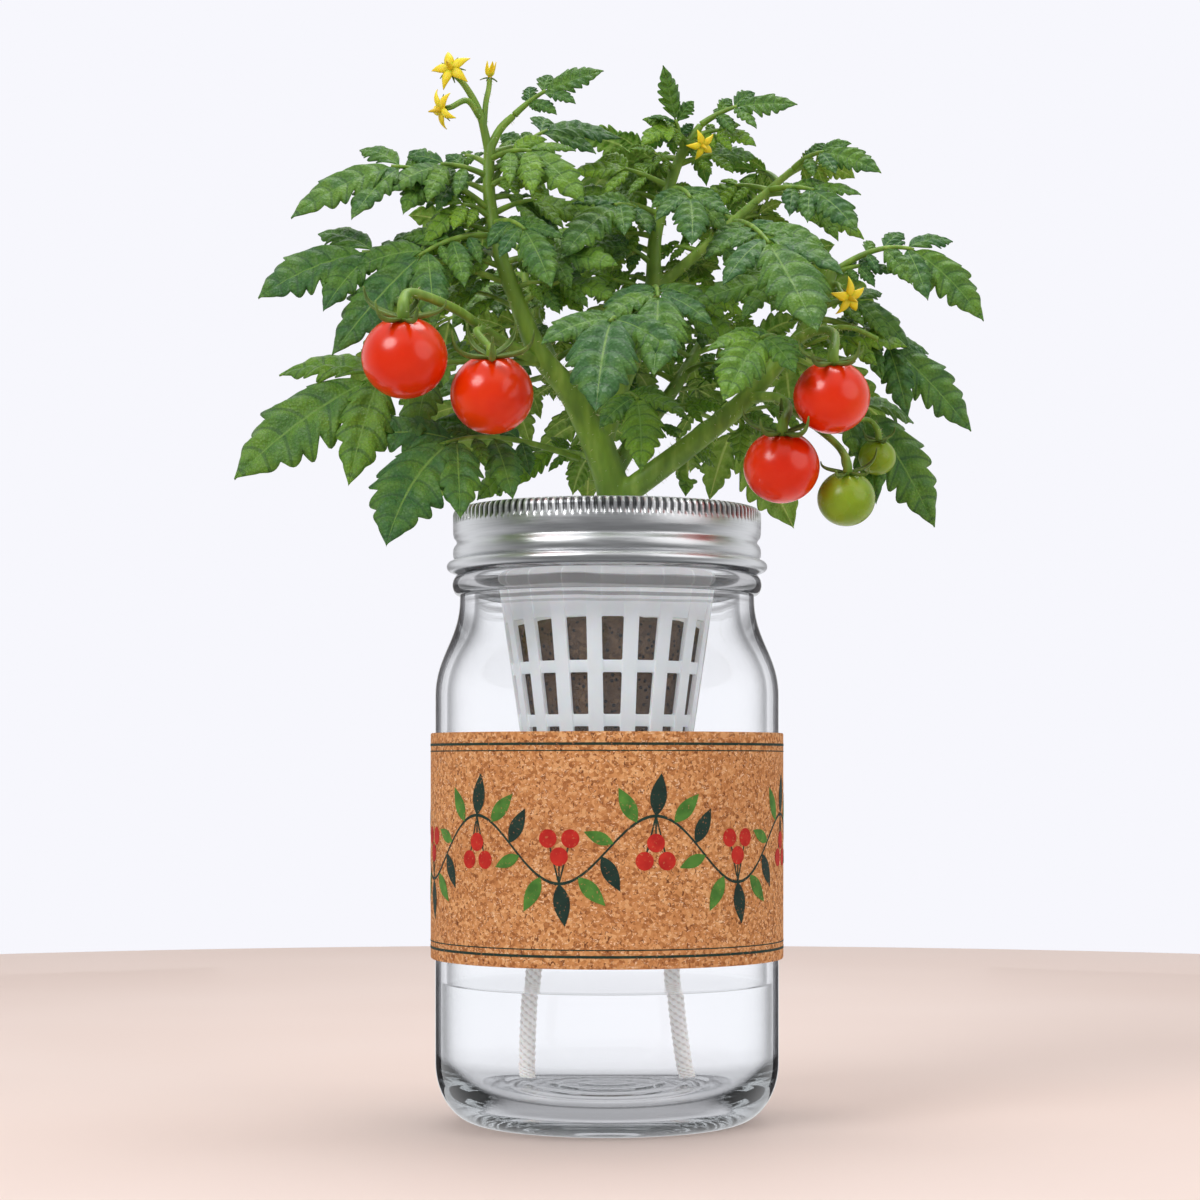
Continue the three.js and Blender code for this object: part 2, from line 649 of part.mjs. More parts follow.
function flowerStalks(extra) {
  const stalks = FLOWER_STALKS.map(([points, start, end]) =>
    taperedTube(points.map(vector), start + extra, end + extra, 5, points.length + 1),
  );
  return joined(stalks);
}

function flower([place, facing, radius]) {
  const petals = star(PETALS, radius, PETAL_WAIST, PETAL_THICKNESS);
  const length = radius * ANTHER_LENGTH;
  const cone = new THREE.CylinderGeometry(ANTHER_TIP_R, radius * ANTHER_WIDTH, length, 6);
  cone.rotateX(Math.PI / 2).translate(0, 0, (length + PETAL_THICKNESS) / 2);
  const whole = solidOf(petals).add(solidOf(cone));
  const up = new THREE.Vector3(0, 0, 1);
  const turn = new THREE.Quaternion().setFromUnitVectors(up, vector(facing).normalize());
  const matrix = new THREE.Matrix4().compose(vector(place), turn, new THREE.Vector3(1, 1, 1));
  return solidOf(geometryOf(whole).applyMatrix4(matrix));
}

// Leaves: each follows an arch from its base over an elbow to its tip, with a terminal leaflet and side
// leaflets in pairs, as [base, elbow, tip]
const LEAVES = {
  leaf_left_low: [[-19, -8, 73], [-76, -30, 75], [-101, -34, 38]],
  leaf_left_middle: [[-27, -9, 95], [-77, -18, 113], [-96, -22, 89]],
  leaf_left_high: [[-33, -8, 116], [-62, -14, 140], [-87, -22, 111]],
  leaf_left_front: [[-31, -10, 108], [-52, -28, 109], [-75, -30, 72]],
  leaf_left_droop: [[-8, -2, 47], [-56, -46, 61], [-58, -58, 18]],
  leaf_left_foot: [[-3, 0, 47], [-25, 24, 58], [-38, 26, 38]],
  leaf_foot_small: [[-1, 2, 46], [-8, 24, 55], [-10, 30, 40]],
  leaf_front_centre: [[9, 8, 82], [-2, -60, 90], [-3, -82, 50]],
  leaf_front_upper: [[13, 11, 96], [15, -40, 95], [12, -62, 62]],
  leaf_front_left: [[-32, -8, 112], [-21, -28, 113], [-15, -38, 89]],
  leaf_centre_high: [[14, 13, 114], [3, -10, 128], [-13, -20, 100]],
  leaf_top_left: [[-26, -6, 143], [-16, -6, 153], [-1, -8, 155]],
  leaf_top_centre: [[-33, -6, 123], [-18, 10, 152], [4, 14, 141]],
  leaf_top_upright: [[22, 12, 137], [19, 6, 146], [16, 2, 159]],
  leaf_top_right: [[27, 10, 144], [39, 6, 152], [54, 2, 148]],
  leaf_right_high: [[54, 18, 133], [63, 10, 142], [78, 4, 129]],
  leaf_right_high_front: [[47, 18, 127], [64, 0, 127], [70, -8, 110]],
  leaf_centre_hanging: [[18, 13, 126], [26, -18, 122], [23, -30, 102]],
  leaf_front_right: [[37, 15, 117], [43, -40, 108], [55, -58, 74]],
  leaf_front_right_low: [[50, -15, 75], [41, -52, 83], [30, -64, 55]],
  leaf_centre_low: [[1, 3, 62], [12, -26, 71], [9, -34, 40]],
  leaf_right_foot: [[36, -11, 60], [39, 8, 63], [38, 12, 47]],
  leaf_foot_right: [[23, -6, 50], [24, 22, 55], [23, 26, 39]],
  leaf_right_wide: [[63, -18, 97], [87, -24, 114], [103, -26, 82]],
  leaf_right_middle: [[57, -18, 84], [83, -10, 83], [102, -8, 54]],
  leaf_right_low: [[48, -15, 73], [79, 0, 67], [93, 2, 28]],
  leaf_back_left_high: [[-26, 46, 115], [-46, 66, 134], [-70, 72, 108]],
  leaf_back_left_middle: [[-22, 38, 96], [-52, 62, 104], [-80, 66, 74]],
  leaf_back_left_low: [[-14, 22, 74], [-42, 52, 76], [-58, 72, 40]],
  leaf_back_high: [[18, 13, 124], [8, 44, 158], [-8, 74, 134]],
  leaf_back_low: [[-8, 12, 62], [-4, 56, 74], [-6, 82, 42]],
  leaf_back_right_high: [[36, 50, 105], [58, 66, 124], [84, 66, 98]],
  leaf_back_right_middle: [[28, 40, 86], [58, 58, 96], [86, 60, 64]],
  leaf_back_right_low: [[16, 22, 65], [44, 54, 68], [58, 74, 34]],
};
const TERMINAL_START = 0.56; // share of the arch that is stalk
const STALK_OVERLAP = 0.01; // share of the arch where stalk and terminal leaflet join
const SMALL_LEAF = 44; // a leaf with a shorter arch has one pair of side leaflets
const LEAFLET_SLIMNESS = 0.24; // half width over length
const SIDE_PAIRS = [
  // where on the arch, length over the terminal leaflet's, angle from the arch in degrees
  { at: 0.52, length: 0.74, angle: 52 },
  { at: 0.36, length: 0.6, angle: 64 },
];
const SIDE_DROOP = 0.28; // how far a side leaflet's tip sinks, over its length
const FACE_TILT = 1.1; // how far a leaf's face leans outwards, over its way up
const FACE_DIVIDE = 28; // leaves whose tips lie behind this face the back
// Half width along a leaflet, as [place along it, share of the full half width]
const TERMINAL_OUTLINE = [
  [0, 0.04],
  [0.3, 1],
  [0.64, 0.7],
  [1, 0.04],
];
const SIDE_OUTLINE = [
  [0, 0.05],
  [0.42, 1],
  [1, 0.05],
];

// A leaf's face looks up and away from the plant, as far as the way it runs allows.
function leafFace(along, tip) {
  const face = new THREE.Vector3(0, tip.y < FACE_DIVIDE ? -FACE_TILT : FACE_TILT, 1);
  return face.addScaledVector(along, -face.dot(along) / along.lengthSq()).normalize();
}

// One leaflet along a curve: a thin blade of three-cornered section, with its midrib as the ridge.
function leaflet(curve, outline, length, tip, extra) {
  const rings = outline.map(([share, width]) => {
    const middle = curve.getPoint(share);
    const along = curve.getTangent(share);
    const face = leafFace(along, tip);
    const side = along.clone().cross(face);
    const half = width * LEAFLET_SLIMNESS * length + 1.5 * extra;
    const under = middle.clone().addScaledVector(face, -BLADE_THICKNESS / 2 - extra);
    return [
      middle.clone().addScaledVector(face, BLADE_THICKNESS / 2 + extra),
      under.clone().addScaledVector(side, half),
      under.clone().addScaledVector(side, -half),
    ];
  });
  return lofted(rings);
}

function leaf([base, elbow, tip], extra) {
  const arch = new THREE.QuadraticBezierCurve3(vector(base), vector(elbow), vector(tip));
  const terminalLength = arch.getLength() * (1 - TERMINAL_START);
  const stalkPoints = [0, 0.5, 1].map((share) => arch.getPoint(share * (TERMINAL_START + STALK_OVERLAP)));
  const stalk = taperedTube(stalkPoints, RACHIS_START_D / 2 + extra, RACHIS_END_D / 2 + extra, 4, 3);
  const tail = new THREE.QuadraticBezierCurve3(
    arch.getPoint(TERMINAL_START),
    arch.getPoint((TERMINAL_START + 1) / 2).lerp(arch.getPoint(1), -0.02),
    arch.getPoint(1),
  );
  const end = vector(tip);
  const pieces = [stalk, leaflet(tail, TERMINAL_OUTLINE, terminalLength, end, extra)];
  const pairs = arch.getLength() < SMALL_LEAF ? SIDE_PAIRS.slice(0, 1) : SIDE_PAIRS;
  for (const { at, length, angle } of pairs) {
    const start = arch.getPoint(at);
    const along = arch.getTangent(at);
    const side = along.clone().cross(leafFace(along, end));
    const reach = length * terminalLength;
    const radians = (angle * Math.PI) / 180;
    for (const hand of [-1, 1]) {
      const heading = along
        .clone()
        .multiplyScalar(Math.cos(radians))
        .addScaledVector(side, hand * Math.sin(radians));
      const middle = start.clone().addScaledVector(heading, reach / 2);
      const sideTip = start.clone().addScaledVector(heading, reach * 0.95);
      sideTip.z -= SIDE_DROOP * reach;
      const rib = new THREE.QuadraticBezierCurve3(start, middle, sideTip);
      pieces.push(leaflet(rib, SIDE_OUTLINE, reach, end, extra));
    }
  }
  return joined(pieces);
}

// A solid cut back from the pieces that already stand there, so that they keep their gap. What the cut
// leaves hanging apart is dropped.
function cutBack(solid, standing) {
  const near = standing.filter((piece) => !solid.intersect(piece).isEmpty());
  if (!near.length) return solid;
  const parts = solid.subtract(joined(near)).decompose();
  return parts.reduce((largest, part) => (part.volume() > largest.volume() ? part : largest));
}

// Finishes
const finish = (color, roughness, metalness = 0) =>
  new THREE.MeshStandardMaterial({ color, roughness, metalness });
const GLASS = new THREE.MeshStandardMaterial({
  color: 0xe8f0f0,
  roughness: 0.05,
  metalness: 0,
  transparent: true,
  opacity: 0.35,
});
const BAND_METAL = finish(0xb4b6b8, 0.35, 1);
const CORK = finish(0xc4834f, 0.9);
const CUP_PLASTIC = finish(0xf0f1f2, 0.45);
const PEAT = finish(0x5a4638, 0.95);
const WICK_COTTON = finish(0xf2eeea, 0.9);
const STEM_GREEN = finish(0x6f9a35, 0.6);
const LEAF_GREEN = finish(0x3c7a3a, 0.6);
const RIPE_RED = finish(0xd8230f, 0.2);
const UNRIPE_GREEN = finish(0x8aa81c, 0.25);
const PETAL_YELLOW = finish(0xf5c518, 0.55);

const kit = new THREE.Group();
const plant = new THREE.Group();
plant.position.z = PLUG_TOP;
kit.add(plant);

function place(group, name, solid, material) {
  const mesh = new THREE.Mesh(geometryOf(solid), material);
  mesh.name = name;
  group.add(mesh);
}

place(kit, "glass_jar", glassJar(), GLASS);
place(kit, "cork_sleeve", corkSleeve(), CORK);
place(kit, "screw_band", screwBand(), BAND_METAL);
place(kit, "net_cup", netCup(), CUP_PLASTIC);
place(kit, "wick_left", wick(WICK_ROUTES.left), WICK_COTTON);
place(kit, "wick_right", wick(WICK_ROUTES.right), WICK_COTTON);
place(kit, "wick_knot_left", wickKnot(-1), WICK_COTTON);
place(kit, "wick_knot_right", wickKnot(1), WICK_COTTON);
place(kit, "grow_plug", growPlug(), PEAT);

// The plant grows piece by piece: each new piece is cut back from those that already stand.
const standing = [];
function grow(name, make, material) {
  const solid = cutBack(make(0), standing);
  place(plant, name, solid, material);
  standing.push(make(GROWTH_GAP));
}

grow("plant_stem", plantStem, STEM_GREEN);
for (const [name, fruit] of Object.entries(TOMATOES)) {
  const ripe = !name.includes("green");
  grow(name, (extra) => tomato(fruit, extra), ripe ? RIPE_RED : UNRIPE_GREEN);
}
for (const [name, stalks] of Object.entries(TRUSSES)) {
  grow(name, (extra) => truss(stalks, extra), STEM_GREEN);
}
grow("flower_stalks", flowerStalks, STEM_GREEN);
for (const [name, [at, facing, radius]] of Object.entries(FLOWERS)) {
  grow(name, (extra) => flower([at, facing, radius + extra]), PETAL_YELLOW);
}
for (const [name, arch] of Object.entries(LEAVES)) {
  grow(name, (extra) => leaf(arch, extra), LEAF_GREEN);
}

export default kit;
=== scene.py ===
# %% [markdown]
# # Dressing a hydroponic grow kit
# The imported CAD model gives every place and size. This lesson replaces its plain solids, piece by
# piece, with modelled and finished ones that ride on the same bodies.

# %% Load the frame
import math
import random

import bpy
import numpy as np
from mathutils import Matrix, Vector, noise


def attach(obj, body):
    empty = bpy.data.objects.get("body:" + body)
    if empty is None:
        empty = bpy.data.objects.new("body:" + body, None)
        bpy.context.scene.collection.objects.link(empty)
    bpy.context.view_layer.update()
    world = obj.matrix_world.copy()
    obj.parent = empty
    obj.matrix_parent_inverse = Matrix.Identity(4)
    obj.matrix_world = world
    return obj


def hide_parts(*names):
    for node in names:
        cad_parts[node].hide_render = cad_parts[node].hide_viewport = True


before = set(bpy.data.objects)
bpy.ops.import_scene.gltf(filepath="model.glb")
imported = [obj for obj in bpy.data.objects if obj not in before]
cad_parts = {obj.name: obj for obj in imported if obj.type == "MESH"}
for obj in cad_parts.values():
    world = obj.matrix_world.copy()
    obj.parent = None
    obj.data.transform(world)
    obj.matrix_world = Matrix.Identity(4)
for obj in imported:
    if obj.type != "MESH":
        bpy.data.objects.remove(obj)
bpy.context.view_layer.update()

# %% [markdown]
# ## The camera
# A level camera with some upward shift keeps the jar's sides upright, which tilting the camera would not.

# %% Camera
MM = 0.001
PHOTO_SIDE = 1200  # pixels
FOCAL_PIXELS = 2758
HORIZON_DROP = 167  # pixels below the middle of the picture
CAMERA_PLACE = (-1.98 * MM, -780 * MM, 100 * MM)
SENSOR_WIDTH = 36  # mm

camera = bpy.data.objects.new("camera", bpy.data.cameras.new("camera"))
bpy.context.scene.collection.objects.link(camera)
bpy.context.scene.camera = camera
camera.location = CAMERA_PLACE
camera.rotation_euler = (math.radians(90), 0, 0)
camera.data.sensor_width = SENSOR_WIDTH
camera.data.lens = SENSOR_WIDTH * FOCAL_PIXELS / PHOTO_SIDE
camera.data.shift_y = HORIZON_DROP / PHOTO_SIDE
camera.data.clip_start = 0.01
print("lens", round(camera.data.lens, 2), "shift", round(camera.data.shift_y, 3))

# %% [markdown]
# ## Hands
# Operators act on whatever is selected, and loading leaves the CAD nodes selected. So each step first puts
# everything down, then takes the pieces that it works on. These few helpers do that, and they make,
# measure, merge and finish a piece in the same way every time.

# %% Taking pieces up and putting them down
def put_down():
    """Object mode, with nothing selected."""
    if bpy.context.mode != "OBJECT":
        bpy.ops.object.mode_set(mode="OBJECT")
    bpy.ops.object.select_all(action="DESELECT")


def take(*pieces):
    put_down()
    for piece in pieces:
        piece.select_set(True)
    bpy.context.view_layer.objects.active = pieces[0]


def made(operator, **settings):
    """The new object of an operator that adds one."""
    put_down()
    operator(**settings)
    return bpy.context.object


def open_skin(piece):
    """Edit mode with every point selected."""
    take(piece)
    bpy.ops.object.mode_set(mode="EDIT")
    bpy.ops.mesh.select_all(action="SELECT")


def close_skin(piece, near=2e-6):
    """Merges doubled points, fills open ends and turns the faces outwards."""
    open_skin(piece)
    bpy.ops.mesh.remove_doubles(threshold=near)
    bpy.ops.mesh.fill_holes(sides=0)
    bpy.ops.mesh.normals_make_consistent(inside=False)
    bpy.ops.object.mode_set(mode="OBJECT")
    return piece


def modify(piece, kind, **settings):
    """Gives a piece one modifier and applies it."""
    take(piece)
    modifier = piece.modifiers.new(kind.lower(), kind)
    for name, value in settings.items():
        setattr(modifier, name, value)
    bpy.ops.object.modifier_apply(modifier=modifier.name)
    return piece


def carve(piece, other, operation="DIFFERENCE"):
    """Cuts another solid out of a piece, or unites it with the piece, and removes the other."""
    modify(piece, "BOOLEAN", operation=operation, solver="EXACT", object=other)
    bpy.data.objects.remove(other)


def merge(pieces):
    take(*pieces)
    if len(pieces) > 1:
        bpy.ops.object.join()
    return pieces[0]


def smooth(piece, degrees):
    """Shades a piece smooth, but for edges sharper than the angle."""
    take(piece)
    bpy.ops.object.shade_smooth_by_angle(angle=math.radians(degrees))
    return piece


def points_of(piece):
    flat = np.empty(3 * len(piece.data.vertices), np.float32)
    piece.data.vertices.foreach_get("co", flat)
    return flat.reshape(-1, 3).astype(float)


def set_points(piece, points):
    piece.data.vertices.foreach_set("co", np.asarray(points, np.float32).ravel())
    piece.data.update()
    return piece


def set_faces(piece, name, value):
    """Gives every face the same value, such as smooth shading or the number of a finish."""
    piece.data.polygons.foreach_set(name, [value] * len(piece.data.polygons))
    return piece


def mark(piece, name, values):
    """Writes one number per point, which a finish can read."""
    layer = piece.data.attributes.get(name) or piece.data.attributes.new(name, "FLOAT", "POINT")
    layer.data.foreach_set("value", np.asarray(values, np.float32))
    return piece


def coat(piece, *finishes):
    piece.data.materials.clear()
    for finish in finishes:
        piece.data.materials.append(finish)
    return piece


def settle(piece, name, body, slot, *nodes):
    """Names a finished piece, seats it on its body and lets it stand for its CAD nodes."""
    piece.name = name
    piece.data.name = name
    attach(piece, body)
    if nodes:
        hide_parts(*nodes)
    print(name, "has", len(piece.data.polygons), "faces")


# %% [markdown]
# ## Two ways to a shape
# Most hard pieces here are turned: a ring of points is laid on the profile and spun about the jar's axis.
# Most growing pieces are rolled: a flat grid is wrapped into a tube along a smooth line. Both start from a
# primitive, and both end with their points merged and their faces turned outwards.

# %% Turning a profile
def arc(centre, half_sizes, start, end, steps):
    """Points (radius, height) on an ellipse, with angles in quarter turns."""
    angles = np.linspace(start, end, steps + 1) * math.pi / 2
    (r, z), (half_r, half_z) = centre, half_sizes
    return [(r + half_r * math.cos(a), z + half_z * math.sin(a)) for a in angles]


def turned(profile, steps, sweep=2 * math.pi):
    """A closed profile of (radius, height) points in mm, spun about the upright axis."""
    piece = made(bpy.ops.mesh.primitive_circle_add, vertices=len(profile), fill_type="NOTHING")
    set_points(piece, [(r * MM, 0, z * MM) for r, z in profile])
    open_skin(piece)
    bpy.ops.mesh.spin(steps=steps, angle=sweep, center=(0, 0, 0), axis=(0, 0, 1))
    return close_skin(piece)


# %% Rolling a sheet along a line
STEPS_PER_BEND = 24  # points of a smooth line between two given ones, before they are spaced evenly


def steps_of(line):
    """The length of each step from point to point."""
    return np.linalg.norm(np.diff(line, axis=0), axis=1)


def blended(a, b, start, end, t):
    """From a at the time start to b at the time end."""
    return ((end - t) * a + (t - start) * b) / (end - start)


def smooth_line(points, steps):
    """Evenly spaced points on a smooth line through the given ones."""
    way = np.array(points, float)
    way = np.vstack([2 * way[0] - way[1], way, 2 * way[-1] - way[-2]])
    knots = np.concatenate([[0], np.cumsum(steps_of(way) ** 0.5)])
    fine = []
    for i in range(1, len(way) - 2):
        t0, t1, t2, t3 = knots[i - 1 : i + 3]
        p0, p1, p2, p3 = way[i - 1 : i + 3]
        t = np.linspace(t1, t2, STEPS_PER_BEND, endpoint=False)[:, None]
        a1 = blended(p0, p1, t0, t1, t)
        a2 = blended(p1, p2, t1, t2, t)
        a3 = blended(p2, p3, t2, t3, t)
        b1 = blended(a1, a2, t0, t2, t)
        b2 = blended(a2, a3, t1, t3, t)
        fine.append(blended(b1, b2, t1, t2, t))
    fine = np.vstack([*fine, way[-2:-1]])
    run = np.concatenate([[0], np.cumsum(steps_of(fine))])
    even = np.linspace(0, run[-1], steps + 1)
    return np.stack([np.interp(even, run, fine[:, k]) for k in range(3)], axis=1)


def unit(vectors):
    return vectors / np.maximum(np.linalg.norm(vectors, axis=-1, keepdims=True), 1e-12)


def frames_along(line):
    """Tangents, normals and binormals that turn no more than the line does."""
    tangents = unit(np.gradient(line, axis=0))
    start = np.eye(3)[np.argmin(np.abs(tangents[0]))]
    normals = [unit(np.cross(tangents[0], start))]
    for tangent in tangents[1:]:
        normals.append(unit(normals[-1] - tangent * np.dot(normals[-1], tangent)))
    normals = np.array(normals)
    return tangents, normals, np.cross(tangents, normals)


def rolled(line, sides, radius_at):
    """A grid rolled into a closed tube along a line in mm. radius_at gets the angle and the place, 0 to 1."""
    line = np.asarray(line, float)
    piece = made(bpy.ops.mesh.primitive_grid_add, x_subdivisions=len(line) - 1, y_subdivisions=sides, size=2)
    flat = points_of(piece)
    place = (flat[:, 0] + 1) / 2
    step = np.rint(place * (len(line) - 1)).astype(int)
    angle = (flat[:, 1] + 1) * math.pi
    _, normals, binormals = frames_along(line)
    radius = radius_at(angle, place)
    out = normals[step] * np.cos(angle)[:, None] + binormals[step] * np.sin(angle)[:, None]
    set_points(piece, (line[step] + out * radius[:, None]) * MM)
    return close_skin(piece, 1e-6)


def stalk(points, radii, steps, sides=10):
    """A round stalk through points in mm, with its radii spread evenly from root to tip."""
    spread = np.linspace(0, 1, len(radii))
    return rolled(smooth_line(points, steps), sides, lambda angle, place: np.interp(place, spread, radii))


# %% [markdown]
# ## Wiring a finish
# A finish is a small network of nodes: textures, ramps and mixes that end in one Principled shader. These
# helpers add a node with its inputs in one line, so that each finish below reads like a recipe.

# %% Node helpers
class Nodes:
    """A node tree in the making."""

    def __init__(self, tree):
        self.tree = tree

    def feed(self, socket, value):
        if isinstance(value, bpy.types.NodeSocket):
            self.tree.links.new(value, socket)
        else:
            socket.default_value = value

    def add(self, kind, inputs=None, **settings):
        node = self.tree.nodes.new(kind)
        for name, value in settings.items():
            setattr(node, name, value)
        for name, value in (inputs or {}).items():
            self.feed(node.inputs[name], value)
        return node

    def axes(self, vector):
        return self.add("ShaderNodeSeparateXYZ", {0: vector}).outputs

    def maths(self, operation, a, b=0.0, **settings):
        return self.add("ShaderNodeMath", {0: a, 1: b}, operation=operation, **settings).outputs[0]

    def span(self, value, low, high, to_low=0.0, to_high=1.0, kind="SMOOTHSTEP"):
        """A step of value from low to high, smooth unless another kind is named."""
        inputs = {"Value": value, 1: low, 2: high, 3: to_low, 4: to_high}
        return self.add("ShaderNodeMapRange", inputs, interpolation_type=kind).outputs[0]


class Finish(Nodes):
    """A material whose nodes end in one Principled shader."""

    def __init__(self, name, **sockets):
        self.material = bpy.data.materials.new(name)
        self.material.use_nodes = True
        super().__init__(self.material.node_tree)
        self.shader = self.tree.nodes["Principled BSDF"]
        self.set(**sockets)
        self.place = self.add("ShaderNodeTexCoord").outputs["Object"]

    def set(self, **sockets):
        for name, value in sockets.items():
            self.feed(self.shader.inputs[name.replace("_", " ")], value)

    def stretched(self, scale):
        return self.add("ShaderNodeMapping", {"Vector": self.place, "Scale": scale}).outputs[0]

    def grain(self, scale, detail=3.0, place=None, distortion=0.0):
        inputs = {"Vector": place or self.place, "Scale": scale, "Detail": detail, "Distortion": distortion}
        return self.add("ShaderNodeTexNoise", inputs).outputs[0]

    def cells(self, scale, output="Distance", feature="F1"):
        inputs = {"Vector": self.place, "Scale": scale}
        return self.add("ShaderNodeTexVoronoi", inputs, feature=feature).outputs[output]

    def attribute(self, name):
        return self.add("ShaderNodeAttribute", attribute_name=name).outputs["Fac"]

    def mixed(self, factor, a, b):
        return self.add("ShaderNodeMix", {0: factor, 6: a, 7: b}, data_type="RGBA").outputs[2]

    def ramp(self, factor, *stops):
        node = self.add("ShaderNodeValToRGB", {0: factor})
        marks = node.color_ramp.elements
        while len(marks) < len(stops):
            marks.new(0.5)
        for stop, (place, colour) in zip(marks, stops):
            stop.position = place
            stop.color = (*colour, 1)
        return node.outputs[0]

    def relief(self, height, depth_mm, strength):
        inputs = {"Height": height, "Distance": depth_mm * MM, "Strength": strength}
        self.set(Normal=self.add("ShaderNodeBump", inputs).outputs[0])


def paint(red, green, blue):
    """A colour written in screen values from 0 to 255, as the shader's linear numbers."""
    levels = (red / 255, green / 255, blue / 255)
    return tuple(((c + 0.055) / 1.055) ** 2.4 if c > 10 / 255 else c / 12.92 for c in levels)


def solid(red, green, blue):
    return (*paint(red, green, blue), 1)


# %% [markdown]
# ## The wicks
# Two cotton wicks hang from holes in the cup's floor and draw water up to the plug. They are limp cords
# about 90 mm long. A sheet is rolled along each route. Its radius swells in strands that twist one way,
# crossed by weaker ones that twist the other way. Real ridges catch the light through glass and water
# better than bump.

# %% Cotton finish
cotton = Finish("wick_cotton", Roughness=0.5, Subsurface_Weight=0.15, Subsurface_Scale=0.0015)
fibre = cotton.grain(2600, 4)
tone = cotton.ramp(cotton.grain(420, 3), (0.3, paint(236, 231, 228)), (0.75, paint(253, 251, 249)))
# Painted shade: the furrows between the strands are painted darker than the ridges, in colour and in glow.
strand = cotton.span(cotton.attribute("ridge"), 0.2, 0.85)
tone = cotton.mixed(0.2, tone, cotton.ramp(fibre, (0.3, paint(220, 213, 208)), (0.7, paint(255, 255, 253))))
# Painted light: the cotton glows a little, for the light that reaches it from the bright room all round.
cotton.set(Base_Color=cotton.mixed(strand, solid(208, 200, 195), tone), Emission_Strength=0.32)
cotton.set(Emission_Color=cotton.mixed(strand, solid(190, 184, 180), tone))
cotton.relief(fibre, 0.25, 0.6)

# %% Twisted wicks
WICK_X = 14  # mm from the axis to the holes in the cup's floor
WICK_RADIUS = 2.2  # mm
STRANDS = 5
TWIST_PITCH = 10.0  # mm in which a strand goes once round
FURROW, RELIEF = 0.82, 0.26  # bottom of the furrows and height of the ridges, as shares of the radius
OVER_SHARE, UNDER_SHARE = 0.72, 0.28  # of the relief, for strands that twist one way and the other
FRAY, FRAY_START = 0.05, 0.97  # share of the radius, and of the length
WICK_ROUTES = {
    "left": [
        (-WICK_X, 0, 97.6), (-WICK_X, 0, 90), (-15.8, -0.6, 76), (-18.4, -1.4, 60),
        (-20.3, -1.8, 46), (-21.3, -1.6, 34), (-21.9, -0.8, 20), (-22, 0, 9),
    ],
    "right": [
        (WICK_X, 0, 97.6), (WICK_X, 0, 90), (15.2, -0.6, 76), (16.8, -1.4, 60),
        (18, -1.8, 46), (18.9, -1.6, 34), (20.6, -1, 20), (22.4, -0.4, 9),
    ],
}
wicks = {}
for side, route in WICK_ROUTES.items():
    line = smooth_line(route, 260)
    length = float(steps_of(line).sum())

    def twisted(angle, place):
        turn = 2 * math.pi * place * length / TWIST_PITCH
        over = np.abs(np.sin(STRANDS / 2 * (angle + turn)))
        under = np.abs(np.sin(STRANDS / 2 * (angle - turn)))
        frayed = 1 + FRAY * np.sin(23 * place * length + 3 * angle) * (place > FRAY_START)
        return WICK_RADIUS * (FURROW + RELIEF * (OVER_SHARE * over**0.8 + UNDER_SHARE * under)) * frayed

    wick = rolled(line, 40, twisted)
    skin = points_of(wick) / MM
    from_line = np.array([np.linalg.norm(line - spot, axis=1).min() for spot in skin])
    # Low ridge values in the furrows make the cotton finish paint them darker, as painted shade.
    mark(wick, "ridge", np.clip((from_line / WICK_RADIUS - FURROW) / RELIEF, 0, 1))
    coat(smooth(wick, 60), cotton.material)
    settle(wick, "wick_braid_" + side, "cup", "wick_cotton", "wick_" + side)
    wicks[side] = (wick, line * MM)
    print("wick", side, "is", round(length, 1), "mm long")

# %% [markdown]
# ## The knots
# A knot in each wick rests on the cup's floor and keeps it from slipping through. A round primitive is
# pressed flat, and three spiral furrows turn it into wound cord. It is mostly hidden, so it needs no true
# knot.

# %% Wound knots
KNOT_RADIUS, KNOT_HEIGHT, KNOT_BOTTOM = 4.3, 5.6, 98.0  # mm
WINDINGS, WINDING_TWIST, WINDING_DEPTH = 3, 9, 0.16
for side, x in (("left", -WICK_X), ("right", WICK_X)):
    knot = made(bpy.ops.mesh.primitive_uv_sphere_add, segments=48, ring_count=28, radius=1)
    ball = points_of(knot)
    turn = np.arctan2(ball[:, 1], ball[:, 0])
    wound = 0.5 - 0.5 * np.cos(WINDINGS * turn + WINDING_TWIST * ball[:, 2])
    sunk = WINDING_DEPTH * wound * (1 - ball[:, 2] ** 2)
    ball[:, :2] *= (KNOT_RADIUS * (1 - sunk))[:, None]
    ball[:, 2] *= KNOT_HEIGHT / 2
    ball += (x, 0, KNOT_BOTTOM + KNOT_HEIGHT / 2)
    set_points(knot, ball * MM)
    # Low ridge values in the furrows make the cotton finish paint them darker, as painted shade.
    mark(knot, "ridge", np.clip(1 - sunk / WINDING_DEPTH, 0, 1))
    coat(smooth(knot, 60), cotton.material)
    settle(knot, "wick_wound_knot_" + side, "cup", "wick_cotton", "wick_knot_" + side)
    wick, line = wicks[side]

# %% [markdown]
# ## The stage
# The floor is a disc, so its far edge is a level line from any side. It shows neither through glass nor in
# mirror images.

